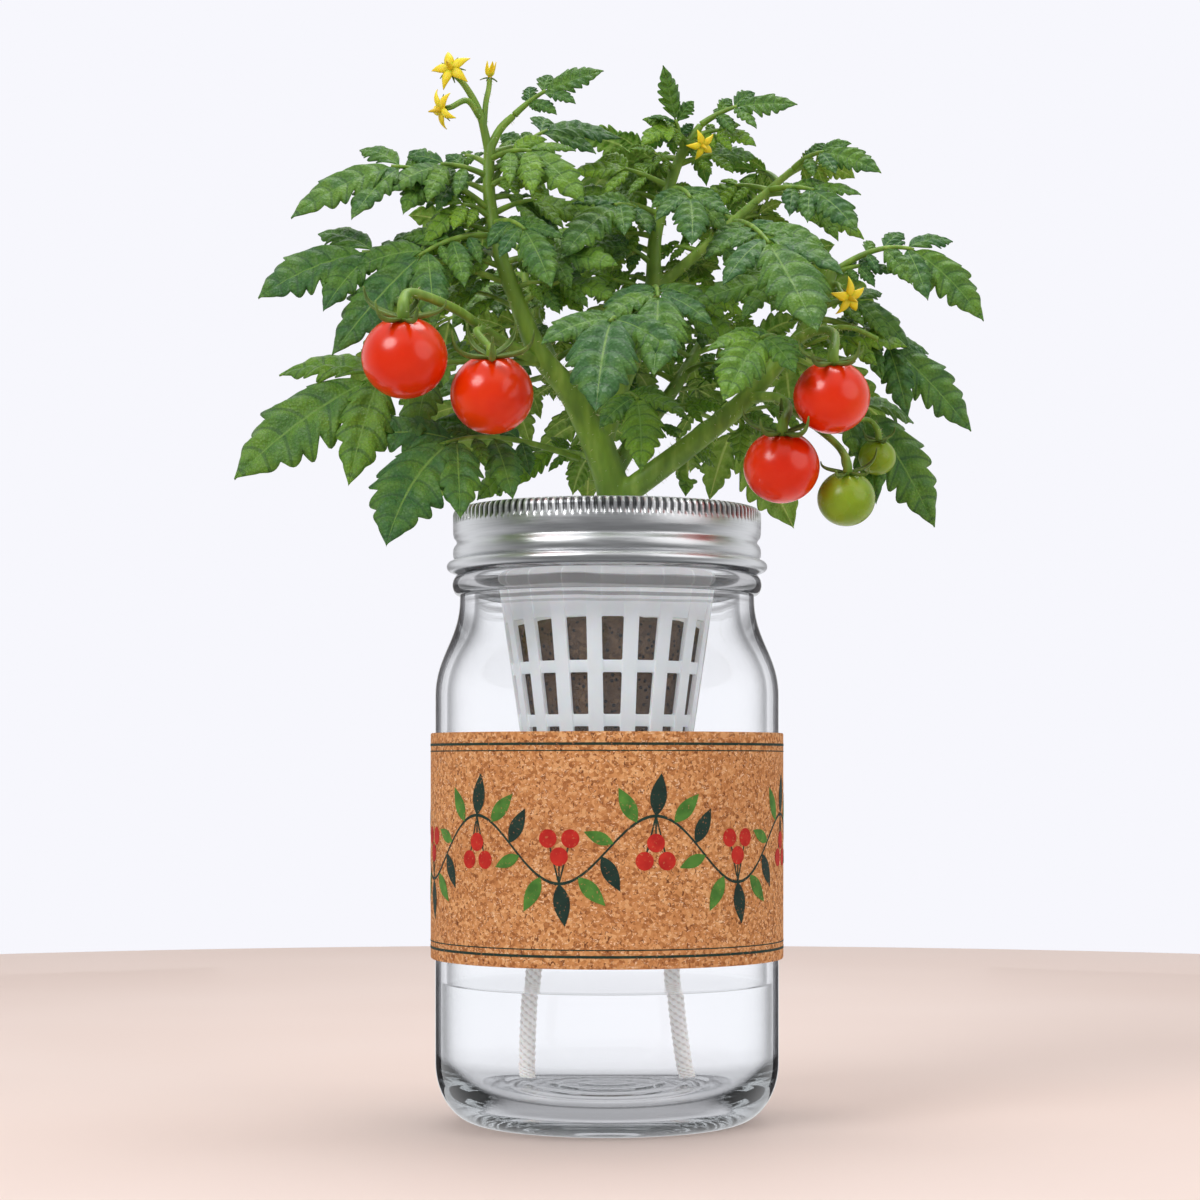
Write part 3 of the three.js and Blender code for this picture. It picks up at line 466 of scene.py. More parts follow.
# %% Floor
FLOOR_RADIUS, FLOOR_DROP = 0.77, 0.0003  # m
floor_finish = Finish("pale_floor", Roughness=0.7, Specular_IOR_Level=0.25)
floor_tint = floor_finish.grain(3, 2)
floor_finish.set(
    Base_Color=floor_finish.ramp(floor_tint, (0.35, paint(238, 216, 206)), (0.65, paint(243, 223, 214)))
)
pale_floor = made(
    bpy.ops.mesh.primitive_circle_add,
    vertices=256, radius=FLOOR_RADIUS, fill_type="NGON", location=(0, 0, -FLOOR_DROP),
)
pale_floor.name = "pale_floor"
coat(pale_floor, floor_finish.material)
pale_floor.visible_glossy = False
pale_floor.visible_transmission = False

# %% [markdown]
# ## Light
# The world is white to the camera and through glass, where it is a little brighter level with the eye and
# darker from above and below. Three lamps stand round: a large one high on the left, a weaker one on the
# right and one above. Light linking keeps them from mirroring in clear pieces as bright spots.

# %% World
world = bpy.data.worlds.new("studio")
bpy.context.scene.world = world
world.use_nodes = True
world.node_tree.nodes.clear()
studio = Nodes(world.node_tree)


def glow(colour, strength):
    return studio.add("ShaderNodeBackground", {"Color": colour, "Strength": strength}).outputs[0]


def chosen(factor, first, second):
    return studio.add("ShaderNodeMixShader", {0: factor, 1: first, 2: second}).outputs[0]


path = studio.add("ShaderNodeLightPath").outputs
through = path["Is Transmission Ray"]
seen = studio.maths("MAXIMUM", path["Is Camera Ray"], through)
mirrored = studio.maths("SUBTRACT", path["Is Glossy Ray"], through, use_clamp=True)
heading = studio.axes(studio.add("ShaderNodeTexCoord").outputs["Generated"])
behind = studio.span(heading["Y"], -0.3, 0.6, 0.19, 1.0, "LINEAR")
overhead = studio.span(heading["Z"], 0.35, 0.75, 0.0, 0.85, "LINEAR")
from_above = studio.span(heading["Z"], 0.16, 0.55, 0.14, -0.5, "LINEAR")
from_below = studio.span(heading["Z"], -0.6, -0.18, -0.5, 0.14, "LINEAR")
gain = studio.maths("MULTIPLY", studio.maths("MINIMUM", from_above, from_below), through)
backdrop = glow(solid(247, 247, 253), studio.maths("ADD", 1.0, gain))
room = glow((0.97, 0.98, 1.0, 1), studio.maths("MAXIMUM", behind, overhead))
fill = glow((0.95, 0.97, 1.0, 1), 0.42)
studio.add("ShaderNodeOutputWorld", {"Surface": chosen(seen, chosen(mirrored, fill, room), backdrop)})

BOUNCES = 40  # light runs a long way inside the jar's thick heel
bpy.context.scene.view_settings.view_transform = "Standard"
bpy.context.scene.cycles.max_bounces = BOUNCES
bpy.context.scene.cycles.transmission_bounces = BOUNCES
bpy.context.scene.cycles.glossy_bounces = BOUNCES

# %% Lamps
LAMPS = {  # place in m, width in m, power in W
    "key_lamp": ((-0.85, -0.95, 1.05), 0.74, 11.0),
    "side_lamp": ((1.0, -0.7, 0.6), 1.2, 4.5),
    "top_lamp": ((0.1, 0.25, 1.3), 0.8, 7.0),
}
aim = Vector((0, 0, 0.16))
clear_pieces = bpy.data.collections.new("clear_pieces")
for name, (place, size, power) in LAMPS.items():
    lamp = bpy.data.objects.new(name, bpy.data.lights.new(name, "AREA"))
    bpy.context.scene.collection.objects.link(lamp)
    lamp.light_linking.receiver_collection = clear_pieces
    lamp.data.shape = "DISK"
    lamp.data.size = size
    lamp.data.energy = power
    lamp.location = place
    lamp.rotation_euler = (aim - Vector(place)).to_track_quat("-Z", "Y").to_euler()

# %% [markdown]
# ## Grey cards
# Metal and glass mirror what stands round them. In a studio, grey cards beside and behind a jar give its
# band dark stripes. They show only in mirror images, never to the camera or through glass.

# %% Cards behind the jar
card_finish = Finish("grey_card", Roughness=0.9)
card_grey = card_finish.ramp(card_finish.grain(2), (0.3, paint(112, 112, 114)), (0.7, paint(126, 126, 129)))
card_finish.set(Base_Color=card_grey)
CARDS = {"card_left": (-0.29, 0.55, 28), "card_right": (0.29, 0.55, -28)}  # place in m, turn in degrees
CARD_MIDDLE, CARD_SIZE = 0.16, (0.22, 0.6, 1)
for name, (x, y, turn) in CARDS.items():
    card = made(
        bpy.ops.mesh.primitive_plane_add,
        size=1, location=(x, y, CARD_MIDDLE), rotation=(math.pi / 2, 0, math.radians(turn)),
    )
    card.name = name
    card.scale = CARD_SIZE
    bpy.ops.object.transform_apply(location=True, rotation=True, scale=True)
    coat(card, card_finish.material)
    card.visible_camera = False
    card.visible_diffuse = False
    card.visible_transmission = False
    card.visible_shadow = False

# %% [markdown]
# ## The glass jar
# The jar is pressed glass with a rounded heel, a straight body, a drawn-in shoulder, a bead and a thread.
# Its wall is a real wall: light bends at both faces, which makes the bright and dark edges of a jar. The
# floor has pressed rings. A little grey absorption darkens the long ways through the glass. As painted
# shade, the wall is greyed where it is seen edge-on, for the dark surroundings that a jar's edges mirror and
# bend, and a few faint dark level bands at the bead stand for the dark gap under the band that it bends
# into view.

# %% Glass finish
GLASS_IOR = 1.5
glass = Finish("clear_glass", Roughness=0.0, IOR=GLASS_IOR, Transmission_Weight=1.0)
glass_tint_and_shade = glass.ramp(glass.grain(9, 2), (0.3, (0.97, 0.98, 0.98)), (0.7, (1.0, 1.0, 1.0)))
wobble = glass.span(glass.grain(45, 2), 0.2, 0.8, -0.0003, 0.0003)
height = glass.maths("ADD", glass.axes(glass.place)["Z"], wobble)
# Painted shade: faint dark level bands at the bead, for the dark gap under the band that the bead bends into
# view.
BEAD_SHADE_BANDS = (  # from and to a height in mm, width of the soft edge, strength
    (153.9, 155.4, 0.3, 0.5), (149.3, 151.6, 0.4, 0.75), (146.4, 147.2, 0.25, 0.6), (144.8, 145.2, 0.3, 0.3),
)
for low, high, soft, strength in BEAD_SHADE_BANDS:
    edge = glass.span(height, (low - soft) * MM, low * MM, 0.0, strength)
    level = glass.maths("MULTIPLY", edge, glass.span(height, high * MM, (high + soft) * MM, 1.0, 0.0))
    glass_tint_and_shade = glass.mixed(level, glass_tint_and_shade, solid(104, 101, 98))
# Painted shade: the wall is greyed where it is seen edge-on, for the dark surroundings a jar's edges mirror
# and bend.
edge_on_shade = glass.add("ShaderNodeFresnel", {"IOR": GLASS_IOR}).outputs[0]
glass.set(Base_Color=glass.mixed(glass.span(edge_on_shade, 0.05, 0.4), glass_tint_and_shade, solid(92, 93, 95)))
glass.relief(glass.grain(34, 1.5), 0.5, 0.12)
absorb = glass.add("ShaderNodeVolumeAbsorption", {"Color": (0.4, 0.43, 0.43, 1), "Density": 18.0})
glass.feed(glass.tree.nodes["Material Output"].inputs["Volume"], absorb.outputs[0])

# %% Glass and lamps
def keep_lamps_off(piece):
    """The lamps light what is inside a clear piece, but don't mirror in it as bright spots."""
    clear_pieces.objects.link(piece)
    for row in clear_pieces.collection_objects:
        row.light_linking.link_state = "EXCLUDE"


# %% Jar
FLOOR_RINGS = ((29.0, 0.35), (22.5, 0.3), (15.5, 0.45), (8.0, 0.25))  # radius and height in mm
RING_WIDTH, RING_GAIN = 1.3, 0.9
FLOOR_EDGE, FLOOR_CROWN = 6, 0.7  # height of the jar's floor at its edge, and its rise to the middle
BODY_R, INNER_R, NECK_R, MOUTH_R, FINISH_R = 48.5, 45.3, 41.6, 37.5, 40.2
INNER_HEEL, INNER_HEEL_HALF = (32.8, 19.8), (12.5, 13.8)  # centre and half sizes of the hollow's rounded foot
FLOOR_R = INNER_HEEL[0]


def shoulder(low, high, steps):
    """An S-shaped line from one (radius, height) to another, upright at both ends."""
    (r0, z0), (r1, z1) = low, high
    reach = 0.42 * (z1 - z0)
    t = np.linspace(0, 1, steps + 1)
    weights = np.stack([(1 - t) ** 3, 3 * t * (1 - t) ** 2, 3 * t * t * (1 - t), t**3], axis=1)
    return [tuple(p) for p in weights @ np.array([(r0, z0), (r0, z0 + reach), (r1, z1 - reach), (r1, z1)])]


def floor_height(r):
    rings = sum(tall * math.exp(-(((r - at) / RING_WIDTH) ** 2)) for at, tall in FLOOR_RINGS)
    return FLOOR_EDGE + (1 - (r / FLOOR_R) ** 2) * FLOOR_CROWN + rings * RING_GAIN


outside = [(0, 2), (10, 2), (20, 1.6), (27, 0.6), (30, 0.05), (33, 0)]
outside += arc((36, 17), (12.5, 17), -1, 0, 20) + [(BODY_R, 40), (BODY_R, 80)]
outside += shoulder((BODY_R, 120), (NECK_R, 147.5), 22) + arc((NECK_R, 151.2), (2.1, 3), -1, 1, 14)
outside += [(FINISH_R, 154.9), (FINISH_R, 162), (FINISH_R, 170.1), (40, 170.6), (39.5, 170.8)]
inside = [(38.2, 170.8), (37.7, 170.6), (MOUTH_R, 170.1), (MOUTH_R, 160)]
inside += shoulder((INNER_R, 120), (MOUTH_R, 147.5), 22)[::-1] + [(INNER_R, 80), (INNER_R, 40)]
inside += arc(INNER_HEEL, INNER_HEEL_HALF, 0, -1, 16)[:-1]
inside += [(r, floor_height(r)) for r in np.linspace(FLOOR_R, 0, 56)]
jar = turned(outside + inside, 144)

# %% Glass thread
THREAD_TURNS, THREAD_PITCH, THREAD_START = 1.5, 5.0, 160.7
THREAD_RIDGE = ((39, -1.26), (41.6, -0.54), (41.6, 0.54), (39, 1.26))  # radius, and height from its middle
thread = made(bpy.ops.mesh.primitive_circle_add, vertices=4, fill_type="NOTHING")
set_points(thread, [(r * MM, 0, (THREAD_START + z) * MM) for r, z in THREAD_RIDGE])
climb = THREAD_PITCH * THREAD_TURNS * MM
sweep = 2 * math.pi * THREAD_TURNS
modify(thread, "SCREW", angle=sweep, screw_offset=climb, steps=120, render_steps=120, use_smooth_shade=False)
close_skin(thread, 1e-7)
carve(jar, thread, "UNION")
coat(smooth(jar, 50), glass.material)
jar.visible_shadow = False
keep_lamps_off(jar)
settle(jar, "jar_glass", "jar", "clear_glass", "glass_jar")

# %% [markdown]
# ## The water
# The jar is filled about a quarter with water, whose edge creeps up the glass a little. The water's skin
# lies a hair inside the glass wall, so no film of air shows between them. It bends light far less than real
# water, so that the wicks run on unbroken below its surface.

# %% Water
water_finish = Finish("water", Roughness=0.0, IOR=1.03, Transmission_Weight=1.0)
water_finish.set(
    Base_Color=water_finish.ramp(water_finish.grain(12), (0.3, (0.985, 0.99, 0.99)), (0.7, (1.0, 1.0, 1.0)))
)
WATER_TOP, SINK = 39.0, 0.06
bed = [(r, floor_height(r) - SINK) for r in np.linspace(0, FLOOR_R, 40)]
wall = arc(INNER_HEEL, [half + SINK for half in INNER_HEEL_HALF], -1, 0, 16)[1:]
wall += [(INNER_R + SINK, WATER_TOP + 0.9)]
surface = [(44.9, WATER_TOP + 0.45), (44.3, WATER_TOP + 0.15)]
surface += [(r, WATER_TOP) for r in (43, 20, 0)]
water = turned(bed + wall + surface, 128)
coat(smooth(water, 60), water_finish.material)
water.visible_shadow = False
keep_lamps_off(water)
settle(water, "jar_water", "jar", "clear_glass")

# %% [markdown]
# ## The screw band
# The band is rolled from tinned steel: a lip over the cup's flange, a knurled top edge, a groove, a bulge
# and a curled lower edge. The profile is spun with many steps, and the upper edge is then pressed in
# between the knurls, so that each one is a real ridge.

# %% Steel finish
steel = Finish("band_steel", Metallic=1.0)
rubbed = steel.grain(900, 2, place=steel.stretched((0.12, 0.12, 2.2)))
steel_tone = steel.ramp(rubbed, (0.3, paint(216, 217, 219)), (0.7, paint(232, 233, 235)))
# Painted shade: the knurls' grooves are painted dark, for the shade that falls between the ridges.
groove_shade = steel.span(steel.attribute("groove"), 0.2, 0.9)
steel.set(Base_Color=steel.mixed(groove_shade, steel_tone, solid(96, 97, 99)))
steel.set(Roughness=steel.span(rubbed, 0.25, 0.75, 0.33, 0.43))
steel.relief(rubbed, 0.02, 0.35)

# %% Band
KNURLS, STEPS_PER_KNURL = 128, 8
KNURL_TOP, KNURL_FOOT, KNURL_DEPTH = 172.4, 168.2, 0.75
KNURL_MIN_R = 42  # mm, inside which the lip isn't pressed
groove_line = [(43.5, 168.1), (43.5, 167.2), (43.45, 165.6), (43.25, 164.6), (42.6, 163.8), (42.4, 163.1)]
groove_line += [(42.55, 162.6), (43.1, 162.0), (43.42, 161.2), (43.5, 160.2), (43.4, 159.1), (42.9, 158.3)]
curl = arc((43.4, 156.4), (1.85, 1.6), 0.75, -1, 9)
outer = [(38.6, 172.7), (40, 172.7)] + arc((41.5, 170.7), (2, 2), 1, 0, 7)
outer += [(43.5, 169.4)] + groove_line + curl
inner = [(42.95, 154.9), (42.6, 156.5), (42.4, 158.1), (42.9, 160.2), (42.6, 161.5), (41.9, 163.1)]
inner += [(42.7, 164.7), (42.95, 166.6), (42.95, 170)] + arc((41.5, 170.7), (1.45, 1.45), 0.1, 1, 5)
inner += [(40, 172.15), (38.6, 172.15), (38.5, 172.4)]
band = turned(outer + inner, KNURLS * STEPS_PER_KNURL)
skin = points_of(band) / MM
radius = np.hypot(skin[:, 0], skin[:, 1])
turn = np.arctan2(skin[:, 1], skin[:, 0])
tall = np.clip((skin[:, 2] - KNURL_FOOT) / 0.6, 0, 1) * np.clip((KNURL_TOP + 0.4 - skin[:, 2]) / 0.5, 0, 1)
face = (radius > KNURL_MIN_R) & (skin[:, 2] > KNURL_FOOT)
slot = np.clip((0.5 - 0.5 * np.cos(KNURLS * turn) - 0.3) / 0.4, 0, 1)
press = KNURL_DEPTH * tall * face * slot
skin[:, :2] *= (1 - press / radius)[:, None]
set_points(band, skin * MM)
# The pressed depth is written as groove, which the steel finish paints dark as painted shade.
mark(band, "groove", press / KNURL_DEPTH)
coat(smooth(band, 35), steel.material)
settle(band, "band_rolled_steel", "band", "band_metal", "screw_band")

# %% [markdown]
# ## The cork sleeve
# A strip of pressed cork is wrapped round the jar, with its ends meeting at the back. Its colour is mostly
# granules: brown cells of many tones, with pale and dark slivers between them. Its inner face has a pale
# cloth backing. A rectangle is spun almost all the way round, its edges rounded, and its surface is
# roughened a little.

# %% Cork finish
cork = Finish("cork", Roughness=0.88, Specular_IOR_Level=0.25)
granule = cork.cells(1150, "Color")
shade = cork.add("ShaderNodeSeparateColor", {0: granule}).outputs[0]
body_tone = cork.ramp(
    shade,
    (0.0, paint(156, 97, 54)),
    (0.35, paint(197, 133, 79)),
    (0.7, paint(214, 152, 96)),
    (1.0, paint(232, 178, 124)),
)
pale = cork.span(cork.grain(1050, 2.0, cork.stretched((1.0, 1.0, 1.7)), 1.0), 0.61, 0.67)
dark = cork.span(cork.grain(820, 3.0, cork.stretched((1.4, 1.0, 1.0)), 1.2), 0.6, 0.67)
cork_tone = cork.mixed(pale, body_tone, solid(246, 210, 172))
cork_tone = cork.mixed(dark, cork_tone, solid(112, 64, 38))
cloud = cork.grain(24, 3)
cork_tone = cork.mixed(cork.span(cloud, 0.3, 0.8, 0.0, 0.25), cork_tone, solid(178, 110, 68))
from_axis = cork.add("ShaderNodeVectorMath", {0: cork.stretched((1.0, 1.0, 0.0))}, operation="LENGTH")
backing = cork.span(from_axis.outputs["Value"], 48.85 * MM, 48.95 * MM, 1.0, 0.0)
weave = cork.ramp(cork.grain(1500, 3), (0.3, paint(226, 218, 208)), (0.7, paint(244, 239, 232)))
cork.set(Base_Color=cork.mixed(backing, cork_tone, weave))
cork.relief(cork.maths("ADD", cork.cells(1150), cork.grain(2200, 3)), 0.16, 0.7)

# %% Sleeve
SLEEVE_IN, SLEEVE_OUT, SLEEVE_FOOT, SLEEVE_TOP = 48.8, 49.8, 46.3, 109.5
SEAM_HALF = 0.4 / SLEEVE_IN  # radians
ROUNDED = 0.25  # mm of the outer edges
ROUGHNESS_MM, ROUGHNESS_SCALE = 0.07, 0.9
heights = np.linspace(SLEEVE_FOOT + 0.3, SLEEVE_TOP - 0.3, 40)
strip = [(SLEEVE_IN, SLEEVE_FOOT), (SLEEVE_OUT - ROUNDED, SLEEVE_FOOT)] + [(SLEEVE_OUT, z) for z in heights]
strip += [(SLEEVE_OUT - ROUNDED, SLEEVE_TOP), (SLEEVE_IN, SLEEVE_TOP)]
sleeve = turned(strip, 240, 2 * math.pi - 2 * SEAM_HALF)
wrap = points_of(sleeve) / MM
turn = np.arctan2(wrap[:, 1], wrap[:, 0]) % (2 * math.pi) + math.pi / 2 + SEAM_HALF
radius = np.hypot(wrap[:, 0], wrap[:, 1])
for i, (r, a, z) in enumerate(zip(radius, turn, wrap[:, 2])):
    if r > SLEEVE_OUT - 0.01:
        spot = Vector((r * math.cos(a), r * math.sin(a), z))
        r -= ROUGHNESS_MM * (0.5 + noise.noise(spot * ROUGHNESS_SCALE))
    wrap[i] = (r * math.cos(a), r * math.sin(a), z)
set_points(sleeve, wrap * MM)
close_skin(sleeve)
coat(smooth(sleeve, 40), cork.material)
settle(sleeve, "sleeve_pressed_cork", "jar", "cork", "cork_sleeve")

# %% [markdown]
# ## The printed garland
# The sleeve carries a plain printed pattern: thin border lines and a garland of lens-shaped leaves with
# round red berries. Each motif is a small grid, laid out on the unrolled strip by its outline and wrapped
# on the cork. A film of ink gives it thickness, so the print stays sharp at any distance.

# %% Ink finishes
def ink(name, colour, lighter):
    finish = Finish(name, Roughness=0.72, Specular_IOR_Level=0.3)
    tint = finish.ramp(finish.grain(300, 2), (0.3, paint(*colour)), (0.75, paint(*lighter)))
    worn = finish.span(finish.grain(1300, 2), 0.62, 0.72, 0.0, 0.55)
    finish.set(Base_Color=finish.mixed(worn, tint, solid(190, 124, 82)))
    return finish.material


dark_ink = ink("ink_dark_green", (24, 48, 40), (34, 62, 50))
green_ink = ink("ink_leaf_green", (62, 112, 40), (92, 146, 58))
red_ink = ink("ink_berry_red", (176, 26, 20), (206, 48, 34))

# %% Motifs on the unrolled strip
PRINT_R = SLEEVE_OUT + 0.02
PRINT_FILM = 0.03
REPEATS = 6
REPEAT = 2 * math.pi * PRINT_R / REPEATS  # mm along the strip
VINE_MIDDLE, VINE_SWING, VINE_HALF = 78.0, 9.0, 0.4
STALK_HALF, BERRY_R, LENS_HALF = 0.22, 2.5, 0.2  # mm, mm, and over a leaf's reach
garland = []


def strip_patch(columns, rows, outline, finish, layer=0):
    """A grid whose points are laid on the strip by outline(u, v), which gives mm along and mm up."""
    patch = made(bpy.ops.mesh.primitive_grid_add, x_subdivisions=columns, y_subdivisions=rows, size=2)
    flat = points_of(patch)
    along, up = outline((flat[:, 0] + 1) / 2, flat[:, 1])
    turn = along / PRINT_R - math.pi / 2
    out = PRINT_R + layer * PRINT_FILM
    set_points(patch, np.stack([out * np.cos(turn), out * np.sin(turn), up], axis=1) * MM)
    garland.append(coat(patch, finish))


def beside(start, run, half_at):
    """The outline of a motif that follows a straight run from its start, with a half width for each place."""
    across = np.array([-run[1], run[0]]) / np.linalg.norm(run)

    def outline(u, v):
        spot = np.array(start) + np.outer(u, run) + np.outer(half_at(u) * v, across)
        return spot[:, 0], spot[:, 1]

    return outline


def lens_leaf(root, reach, degrees, finish):
    run = reach * np.array([math.cos(math.radians(degrees)), math.sin(math.radians(degrees))])
    outline = beside(root, run, lambda u: LENS_HALF * reach * np.sin(math.pi * u**0.85))
    strip_patch(12, 4, outline, finish, 1)


def fine_stalk(start, end):
    strip_patch(6, 1, beside(start, np.subtract(end, start), lambda u: STALK_HALF), dark_ink)


def berry(place):
    def outline(u, v):
        turn = 2 * math.pi * u
        r = BERRY_R * (v + 1) / 2
        return place[0] + r * np.cos(turn), place[1] + r * np.sin(turn)

    strip_patch(20, 2, outline, red_ink, 1)


# %% Laying out the garland
LEAF_PLACES = (  # share of a half wave, degrees, reach in mm, ink
    (0.3, 118, 10.5, green_ink), (0.5, 82, 11.5, dark_ink), (0.7, 46, 10.5, green_ink),
    (-0.06, -62, 10.5, dark_ink), (0.06, 158, 8.5, green_ink),
)
BERRY_PLACES = ((0, -7.2), (-3.1, -12), (3.1, -12))  # mm from the top of a wave
BORDERS = ((106.2, 0.7), (104.4, 0.3), (49.6, 0.7), (51.4, 0.3))  # height and thickness of the lines in mm
half_strip = math.pi * PRINT_R - 1.2
half_wave = REPEAT / 2


def vine_height(along):
    return VINE_MIDDLE + VINE_SWING * np.sin(math.pi * along / half_wave)


def vine_outline(u, v):
    along = (2 * u - 1) * half_strip
    return along, vine_height(along) + VINE_HALF * v


strip_patch(360, 1, vine_outline, dark_ink)
for height, thick in BORDERS:
    strip_patch(240, 1, lambda u, v: ((2 * u - 1) * half_strip, height + v * thick / 2), dark_ink)
for wave in range(-REPEATS, REPEATS):
    start = wave * half_wave
    upward = 1 if wave % 2 == 0 else -1
    for share, degrees, reach, finish in LEAF_PLACES:
        along = start + share * half_wave
        lens_leaf((along, float(vine_height(along))), reach, degrees * upward, finish)
    top = (start + half_wave / 2, VINE_MIDDLE + VINE_SWING * upward)
    for aside, drop in BERRY_PLACES:
        place = (top[0] + aside, top[1] + drop * upward)
        fine_stalk(top, place)
        berry(place)
print_sheet = modify(merge(garland), "SOLIDIFY", thickness=PRINT_FILM * MM, offset=0)
settle(print_sheet, "sleeve_printed_garland", "jar", "cork")

# %% [markdown]
# ## The net cup
# The cup is injection moulded: a tapered shell with a flange, upright slats and thinner hoops that lie back
# from them. The shell is turned round, then two sets of blocks cut it: shallow ones leave the slats
# standing proud, and deep ones open the windows between the hoops. A small bevel rounds every moulded edge.
# The plastic glows a little: painted light for the light that comes through thin white plastic. The glow
# is strongest in the plain collar, which lies in the band's shade.

# %% Cup finish
plastic = Finish("cup_plastic", Subsurface_Weight=0.25, Subsurface_Scale=0.002)
mould = plastic.grain(70, 3)
plastic_tone = plastic.ramp(mould, (0.3, paint(238, 239, 241)), (0.7, paint(247, 247, 249)))
# Painted light: the cup glows faintly all over and more in the collar, which lies in the band's shade.
painted_glow = plastic.span(plastic.axes(plastic.place)["Z"], 142 * MM, 150 * MM, 0.16, 0.4)
plastic.set(Base_Color=plastic_tone, Emission_Color=plastic_tone, Emission_Strength=painted_glow)
plastic.set(Roughness=plastic.span(plastic.grain(500, 2), 0.3, 0.7, 0.36, 0.5))
plastic.relief(plastic.grain(1800, 2), 0.03, 0.25)

# %% Cup shell and its cutters
SLATS, SLAT_WIDTH = 18, 4.1
CUP_FOOT, CUP_FLOOR_TOP = 96.4, 97.9
CUP_FOOT_R, CUP_SLOPE, CUP_WALL = 22.6, 10.9 / 74.5, 1.42
ROWS = ((129.2, 141.0), (114.5, 125.9), (100.9, 111.2))  # windows, from and to a height
HOOP_SETBACK = 0.55
CUT_OVER, WINDOW_DEPTH, CUT_CLEAR = 2, 5.5, 0.02  # mm past the cup's face, into it, and kept off each slat
CUT_ROUNDING, EDGE_ROUNDING = 0.45, 0.16
PANEL_LOW, PANEL_HIGH = 100.2, 166.0
SLAT_TURN = math.radians(-7)
FLOOR_SLOTS, SLOT_IN, SLOT_OUT, SLOT_HALF = 6, 4, 10, 1
HOLE_R = 2.6


def cup_radius(z):
    return CUP_FOOT_R + CUP_SLOPE * (z - CUP_FOOT)


def window_half(z):
    return (2 * cup_radius(z) * math.sin(math.pi / SLATS) - SLAT_WIDTH) / 2


def panel_end(z):
    return z, cup_radius(z) - HOOP_SETBACK, cup_radius(z) + CUT_OVER, window_half(z)


def radial_block(angle, low, high, rounding=0.0):
    """A block set radially into the cup. Its ends are (height, inner radius, outer radius, half width)."""
    block = made(bpy.ops.mesh.primitive_cube_add, size=2)
    cos, sin = math.cos(angle), math.sin(angle)
    corners = []
    for x, y, z in points_of(block):
        tall, inner_r, outer_r, half = high if z > 0 else low
        r = outer_r if x > 0 else inner_r
        corners.append((r * cos - y * half * sin, r * sin + y * half * cos, tall))
    set_points(block, np.array(corners) * MM)
    return modify(block, "BEVEL", width=rounding * MM, segments=3) if rounding else block


shell_line = [(0, CUP_FOOT), (20, CUP_FOOT), (22.2, CUP_FOOT), (22.62, CUP_FOOT + 0.4)]
shell_line += [(cup_radius(z), z) for z in np.linspace(98, 168.5, 12)] + [(33.6, 170.3), (34.4, 170.9)]
shell_line += [(40.7, 170.9), (41, 171.2), (41, 171.8), (40.7, 172.1), (33, 172.1), (32.3, 171.6)]
shell_line += [(cup_radius(z) - CUP_WALL, z) for z in np.linspace(170, 98.6, 12)] + [(20.8, 97.9), (0, 97.9)]
cup = turned(shell_line, 144)
angles = [2 * math.pi * slat / SLATS + SLAT_TURN for slat in range(SLATS)]
panels = [radial_block(angle, panel_end(PANEL_LOW), panel_end(PANEL_HIGH)) for angle in angles]
carve(cup, merge(panels))
windows = []
for low, high in ROWS:
    radii = (cup_radius(low) - WINDOW_DEPTH, cup_radius(high) + CUT_OVER)
    ends = [(z, *radii, window_half(z) - CUT_CLEAR) for z in (low, high)]
    windows += [radial_block(angle, *ends, CUT_ROUNDING) for angle in angles]
carve(cup, merge(windows))
ends = [(z, SLOT_IN, SLOT_OUT, SLOT_HALF) for z in (CUP_FOOT - 2, CUP_FLOOR_TOP + 2)]
turns = [2 * math.pi * (slot + 0.5) / FLOOR_SLOTS for slot in range(FLOOR_SLOTS)]
carve(cup, merge([radial_block(turn, *ends, CUT_ROUNDING) for turn in turns]))
for x in (-WICK_X, WICK_X):
    hole = made(
        bpy.ops.mesh.primitive_cylinder_add,
        vertices=32, radius=HOLE_R * MM, depth=8 * MM, location=(x * MM, 0, 97.2 * MM),
    )
    carve(cup, hole)
modify(cup, "BEVEL", width=EDGE_ROUNDING * MM, segments=2, limit_method="ANGLE", angle_limit=math.radians(50))
coat(smooth(cup, 40), plastic.material)
settle(cup, "cup_moulded_basket", "cup", "cup_plastic", "net_cup")

# %% [markdown]
# ## The grow plug
# The plug is pressed peat and coir: a dark, crumbly block that wedges in the cup, with a wavy upper edge
# and a hole for the stem. It is turned, and its skin is then eaten away by noise at two scales, only
# inwards, so that it stays clear of the cup.

# %% Peat finish
peat = Finish("grow_medium", Roughness=0.93, Specular_IOR_Level=0.2)
crumb = peat.cells(900, "Color")
crumb_shade = peat.add("ShaderNodeSeparateColor", {0: crumb}).outputs[1]
earth = peat.ramp(crumb_shade, (0.1, paint(72, 52, 34)), (0.5, paint(98, 72, 48)), (0.95, paint(122, 93, 66)))
earth = peat.mixed(peat.span(peat.grain(160, 4), 0.3, 0.7), earth, solid(92, 67, 44))
# Small near-black spots drawn from cells, scattered over the crumbly skin.
dark_spot = peat.span(peat.cells(560), 0.24, 0.33)
peat.set(Base_Color=peat.mixed(dark_spot, solid(26, 17, 11), earth))
peat.relief(peat.maths("ADD", peat.cells(420), peat.grain(1200, 4)), 0.5, 0.8)

